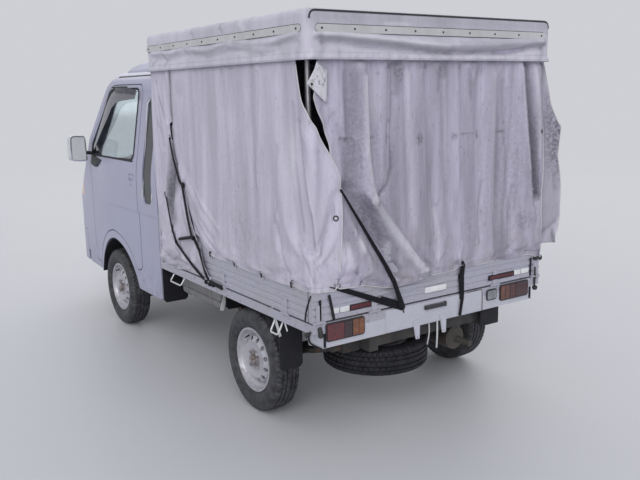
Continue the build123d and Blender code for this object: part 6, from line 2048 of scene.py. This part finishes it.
# Each plate is (name, its rows of (left, right, foot, top), plane, depth, material, body)
PLATES = (
    ("white_reflectors", [
        (0.593, 0.624, 0.636, 0.662), (0.536, 0.587, 0.636, 0.662), (-0.055, 0.083, 0.641, 0.669),
        (-0.590, -0.541, 0.637, 0.663), (-0.654, -0.596, 0.637, 0.663),
    ], GATE_FACE, 0.0035, "reflector_white", "tailgate"),
    ("red_reflectors", [(0.416, 0.530, 0.639, 0.659)], GATE_FACE, 0.0045, "reflector_red", "tailgate"),
    ("right_red_reflector", [(-0.533, -0.356, 0.641, 0.659)], GATE_FACE, 0.0095, "reflector_red", "tailgate"),
    ("reflector_frames", [(0.409, 0.534, 0.635, 0.663)], GATE_FACE, 0.003, "rubber", "tailgate"),
    ("right_reflector_frame", [(-0.538, -0.349, 0.637, 0.663)], GATE_FACE, 0.008, "rubber", "tailgate"),
    ("valance_patch", [(-0.306, -0.172, 0.486, 0.597)], REAR_Y - 0.003, 0.0045, "valance", "chassis"),
    ("valance_flap", [(-0.452, -0.318, 0.392, 0.488)], 1.674, 0.006, "rubber", "chassis"),
    ("gate_corner_strips", [(0.689, 0.701, 0.616, 0.712), (-0.675, -0.662, 0.616, 0.715)],
     GATE_FACE, 0.005, "rubber", "tailgate"),
    ("valance_corner_strips", [(0.668, 0.680, 0.490, 0.556), (-0.674, -0.662, 0.492, 0.556)],
     GATE_FACE, 0.006, "rubber", "chassis"),
)


def build_plates():
    """Thin plates on the rear face."""
    for name, rows, plane, depth, material, body in PLATES:
        shape = Shape()
        for x0, x1, z0, z1 in rows:
            outline = rounded([Vector(p) for p in ((x0, z0), (x1, z0), (x1, z1), (x0, z1))], 0.003, 2)
            shape.slab(outline, lambda a, b, proud: Vector((a, plane + proud, b)), depth, depth * 0.4)
        shape.build(name, material, body)


def build_rear_rubbers():
    """The rear's edges, bands and rods, in round bars and flat bands."""
    patch = smooth_line([(-0.172, REAR_Y, 0.590), (-0.200, REAR_Y, 0.597), (-0.285, REAR_Y, 0.598),
                         (-0.305, REAR_Y, 0.585), (-0.309, REAR_Y, 0.486)])
    Shape().tube(patch, 0.0028, 6).build("valance_patch_edge", "black_plastic")
    outline = Shape()
    for sign in (1, -1):
        corners = ((0.700, 1.686, 0.600), (0.694, 1.640, 0.585), (0.689, 1.598, 0.545), (0.687, 1.590, 0.500),
                   (0.687, 1.615, 0.486), (0.687, 1.690, 0.486))
        outline.tube(smooth_line([(sign * x, y, z) for x, y, z in corners]), 0.0042, 8)
    outline.build("end_cap_rubbers", "rubber")
    tree = surface("rear_curtain_cloth", "tailgate", "rear_valance", "load_bed", "tail_lamps")
    strap("centre_strap", tree, (
        ("rear", (-0.150, 0.760), (-0.154, 0.690), 0.024, 0.040, 0),
        ("rear", (-0.154, 0.690), (-0.158, 0.585), 0.040, 0.030, 0),
        ("rear", (-0.158, 0.585), (-0.144, 0.500), 0.022, 0.018, 1),
    ))
    line, _ = lay(tree, "rear", [(0.649, 0.728), (0.640, 0.690), (0.631, 0.650), (0.624, 0.612)], 0.003)
    band = Shape().ribbon(smooth_line(line), Vector((0, 1, 0)), 0.014, 0.003)
    band.build("lamp_band", "rubber", "tailgate")
    rods = Shape()
    rods.tube(smooth_line([(-0.006, 1.690, 0.486), (-0.016, 1.680, 0.410), (-0.031, 1.660, 0.335)]), 0.0045)
    rods.tube(smooth_line([(0.040, 1.680, 0.486), (0.030, 1.672, 0.430), (0.022, 1.650, 0.360)]), 0.0035)
    rods.build("valance_rods", "white")
    bars = Shape()
    for start, end, width in (
        ((0.726, 1.337, 0.604), (0.726, 1.410, 0.478), 0.022),
        ((0.726, 1.425, 0.604), (0.726, 1.474, 0.520), 0.009),
    ):
        bars.ribbon(spread(start, end, 6), Vector((1, 0, 0)), width, 0.005)
    bars.build("rail_bars", "white")
    gate_end = [(0.739, 1.692, 0.736), (0.739, 1.672, 0.700), (0.739, 1.652, 0.655), (0.739, 1.643, 0.612)]
    Shape().tube(smooth_line(gate_end), 0.004, 8).build("gate_end_rubber", "rubber", "left_gate")
    line = spread((0.653, 0.727, 0.557), (0.687, 0.727, 0.440), 6)
    strip = Shape().ribbon(line, Vector((0, 1, 0)), 0.024, 0.003)
    strip.build("flap_strip", "white")


def ball(shape, place, out, radius, height, inner_height):
    """Two low domes back to back."""
    shape.dome(place, out, radius, height, 14)
    shape.dome(place, -Vector(out), radius, inner_height, 14)


def build_latches():
    """The gates' latches at the rear corners."""
    latch = Shape()
    ball(latch, (0.752, 1.680, 0.560), (1, 0, 0), 0.012, 0.012, 0.010)
    latch.tube([(0.748, 1.681, 0.562), (0.728, 1.686, 0.577), (0.708, 1.690, 0.590)], 0.005)
    latch.tube(smooth_line([(0.700, 1.692, 0.588), (0.697, 1.700, 0.565), (0.696, 1.701, 0.540)]),
               [0.008] + [0.012] * 11 + [0.006])
    latch.tube([(-0.700, 1.701, 0.660), (-0.701, 1.703, 0.610), (-0.702, 1.701, 0.570)], 0.006)
    ball(latch, (-0.706, 1.700, 0.545), (0, 1, 0), 0.014, 0.013, 0.010)
    latch.tube([(-0.702, 1.701, 0.575), (-0.705, 1.700, 0.552)], 0.005)
    latch.build("gate_latches", "black_plastic")
    knob = Shape().tube([(-0.706, 1.690, 0.706), (-0.728, 1.690, 0.706), (-0.752, 1.688, 0.704)],
                        [0.014, 0.012, 0.017], 12)
    knob.tube([(-0.690, 1.702, 0.712), (-0.712, 1.702, 0.704)], 0.010, 10)
    knob.build("right_gate_knob", "black_plastic", "right_gate")


def build_hem_loops():
    """Loops that hold the hems of the side curtains to studs on the gates, on both sides."""
    for side, sign in SIDES:
        loops = Shape()
        studs = Shape()
        out = Vector((sign, 0, 0))
        for y, z in LEFT_HOOKS:
            line = [(sign * 0.7510, y, z + 0.014), (sign * 0.7500, y, z), (sign * 0.7480, y, z - 0.015)]
            loops.ribbon(line, out, [0.006, 0.010, 0.007], 0.005)
            studs.dome((sign * (HALF_WIDTH - 0.001), y, z - 0.022), out, 0.007, 0.008)
        loops.build(f"{side}_hem_loops", "rubber")
        studs.build(f"{side}_gate_studs", "chrome", f"{side}_gate")


build_plates()
build_latches()
build_rear_rubbers()
build_hem_loops()


# Seats
SEAT_X = 0.330
SEAT_ROUND = 0.045
SEAM_SHARE = 0.90
CHANNEL_SHARE = 0.030
CHANNEL_DEPTH = 0.006
SEAT_STATIONS = (-1.0, -0.97, -0.90, -0.78, -0.60, -0.40, -0.20, 0.0, 0.20, 0.40, 0.60, 0.78, 0.90, 0.97, 1.0)
# Each pad is (name, its side outline in (y, z), half width, channels across, crown)
PADS = (
    ("seat_cushion", [(-1.000, 0.706), (-0.430, 0.706), (-0.430, 0.806), (-1.010, 0.828)],
     0.222, (-0.5, 0.5), 0.012),
    ("seat_back", [(-0.455, 0.826), (-0.340, 0.812), (-0.222, 1.355), (-0.300, 1.368)],
     0.212, (-0.5, 0.5), 0.010),
    ("head_rest", [(-0.288, 1.382), (-0.222, 1.376), (-0.190, 1.525), (-0.262, 1.534)], 0.115, (), 0.008),
)


def build_pad(name, x, corners, half, channels, crown):
    """A sewn foam pad with channels across it and piping at both sides."""
    outline = rounded([Vector(p) for p in corners], SEAT_ROUND, 6)
    middle = sum(outline, Vector((0, 0))) / len(outline)
    rings = []
    for share in SEAT_STATIONS:
        scale = 0.80 + 0.20 * (1.0 - abs(share) ** 9) ** 0.5
        groove = sum(math.exp(-((share - channel) / CHANNEL_SHARE) ** 2) for channel in channels)
        swell = crown * (1.0 - share**2) - groove * CHANNEL_DEPTH
        ring = []
        for p in outline:
            q = middle + (p - middle) * scale + (p - middle).normalized() * swell
            ring.append((x + share * half, q.x, q.y))
        rings.append(ring)
    piece = Shape().skin(rings).build(name, "vinyl")
    rounding = piece.modifiers.new("rounding", "SUBSURF")
    rounding.levels = 1
    rounding.render_levels = 1
    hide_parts("seats")
    seam = Shape()
    for share in (-SEAM_SHARE, SEAM_SHARE):
        ring = rings[SEAT_STATIONS.index(share)]
        seam.tube(ring + ring[:1], 0.0028, 6)
    seam.build(name + "_piping", "grey_plastic")


for side, sign in SIDES:
    for name, corners, half, channels, crown in PADS:
        build_pad(f"{side}_{name}", sign * SEAT_X, corners, half, channels, crown)


# Studio; each lamp is (name, where it stands, strength, how wide it looks in degrees)
SKY_SEEN = srgb(206, 207, 212)
SKY_TONE = (0.93, 0.95, 1.0)
SKY_LIGHT = 0.60
FLOOR_TONE = srgb(203, 204, 208)
FLOOR_SIZE = 60.0
FLOOR_FADE = (5.0, 13.0)
LAMPS = (
    ("key", (4.2, 5.0, 3.4), 1.35, 45.0),
    ("fill", (-4.0, -5.0, 3.4), 0.60, 70.0),
    ("top", (0.3, 0.2, 6.0), 0.20, 90.0),
)


def light_path(tree):
    """1 for what the camera, gloss and glass see, 0 for light that falls on surfaces."""
    node = tree.nodes.new("ShaderNodeLightPath")
    value = node.outputs["Is Camera Ray"]
    for name in ("Is Glossy Ray", "Is Transmission Ray"):
        most = tree.nodes.new("ShaderNodeMath")
        most.operation = "MAXIMUM"
        tree.links.new(value, most.inputs[0])
        tree.links.new(node.outputs[name], most.inputs[1])
        value = most.outputs[0]
    return value


def blend(tree, amount, a, b, last):
    """Turns shader a into shader b by amount, in front of the tree's last node."""
    node = tree.nodes.new("ShaderNodeMixShader")
    for value, socket in zip((amount, a, b), node.inputs):
        tree.links.new(value, socket)
    tree.links.new(node.outputs[0], tree.nodes[last].inputs["Surface"])


def build_floor():
    """A pale floor that fades into the sky."""
    mesh = bpy.data.meshes.new("floor")
    corners = [(FLOOR_SIZE * x, FLOOR_SIZE * y, 0) for x, y in ((-1, -1), (1, -1), (1, 1), (-1, 1))]
    mesh.from_pydata(corners, [], [(0, 1, 2, 3)])
    paint = Paint("floor_pale", FLOOR_TONE, 0.5)
    tree = paint.tree
    paint.set("Base Color", paint.mix(paint.noise(0.9, 4.0), scaled(FLOOR_TONE, 0.95), FLOOR_TONE))
    glow = tree.nodes.new("ShaderNodeEmission")
    glow.inputs["Color"].default_value = (*SKY_SEEN, 1.0)
    distance = tree.nodes.new("ShaderNodeVectorMath")
    distance.operation = "LENGTH"
    tree.links.new(paint.place, distance.inputs[0])
    fade = paint.times(paint.ramp(distance.outputs["Value"], *FLOOR_FADE), light_path(tree))
    blend(tree, fade, paint.shader.outputs[0], glow.outputs[0], "Material Output")
    mesh.materials.append(paint.material)
    floor = bpy.data.objects.new("floor", mesh)
    SCENE.collection.objects.link(floor)


def build_sky():
    """An even pale sky."""
    world = bpy.data.worlds.new("studio")
    world.use_nodes = True
    tree = world.node_tree
    light = tree.nodes["Background"]
    light.inputs["Color"].default_value = (*SKY_TONE, 1.0)
    light.inputs["Strength"].default_value = SKY_LIGHT
    seen = tree.nodes.new("ShaderNodeBackground")
    seen.inputs["Color"].default_value = (*SKY_SEEN, 1.0)
    blend(tree, light_path(tree), light.outputs[0], seen.outputs[0], "World Output")
    SCENE.world = world


def build_lamps():
    """Soft lamps from far away."""
    for name, place, strength, spread_angle in LAMPS:
        data = bpy.data.lights.new(name, "SUN")
        data.energy = strength
        data.angle = math.radians(spread_angle)
        lamp = bpy.data.objects.new(name, data)
        SCENE.collection.objects.link(lamp)
        lamp.rotation_euler = (-Vector(place)).to_track_quat("-Z", "Y").to_euler()


build_floor()
build_sky()
build_lamps()
SCENE.view_settings.view_transform = "Standard"
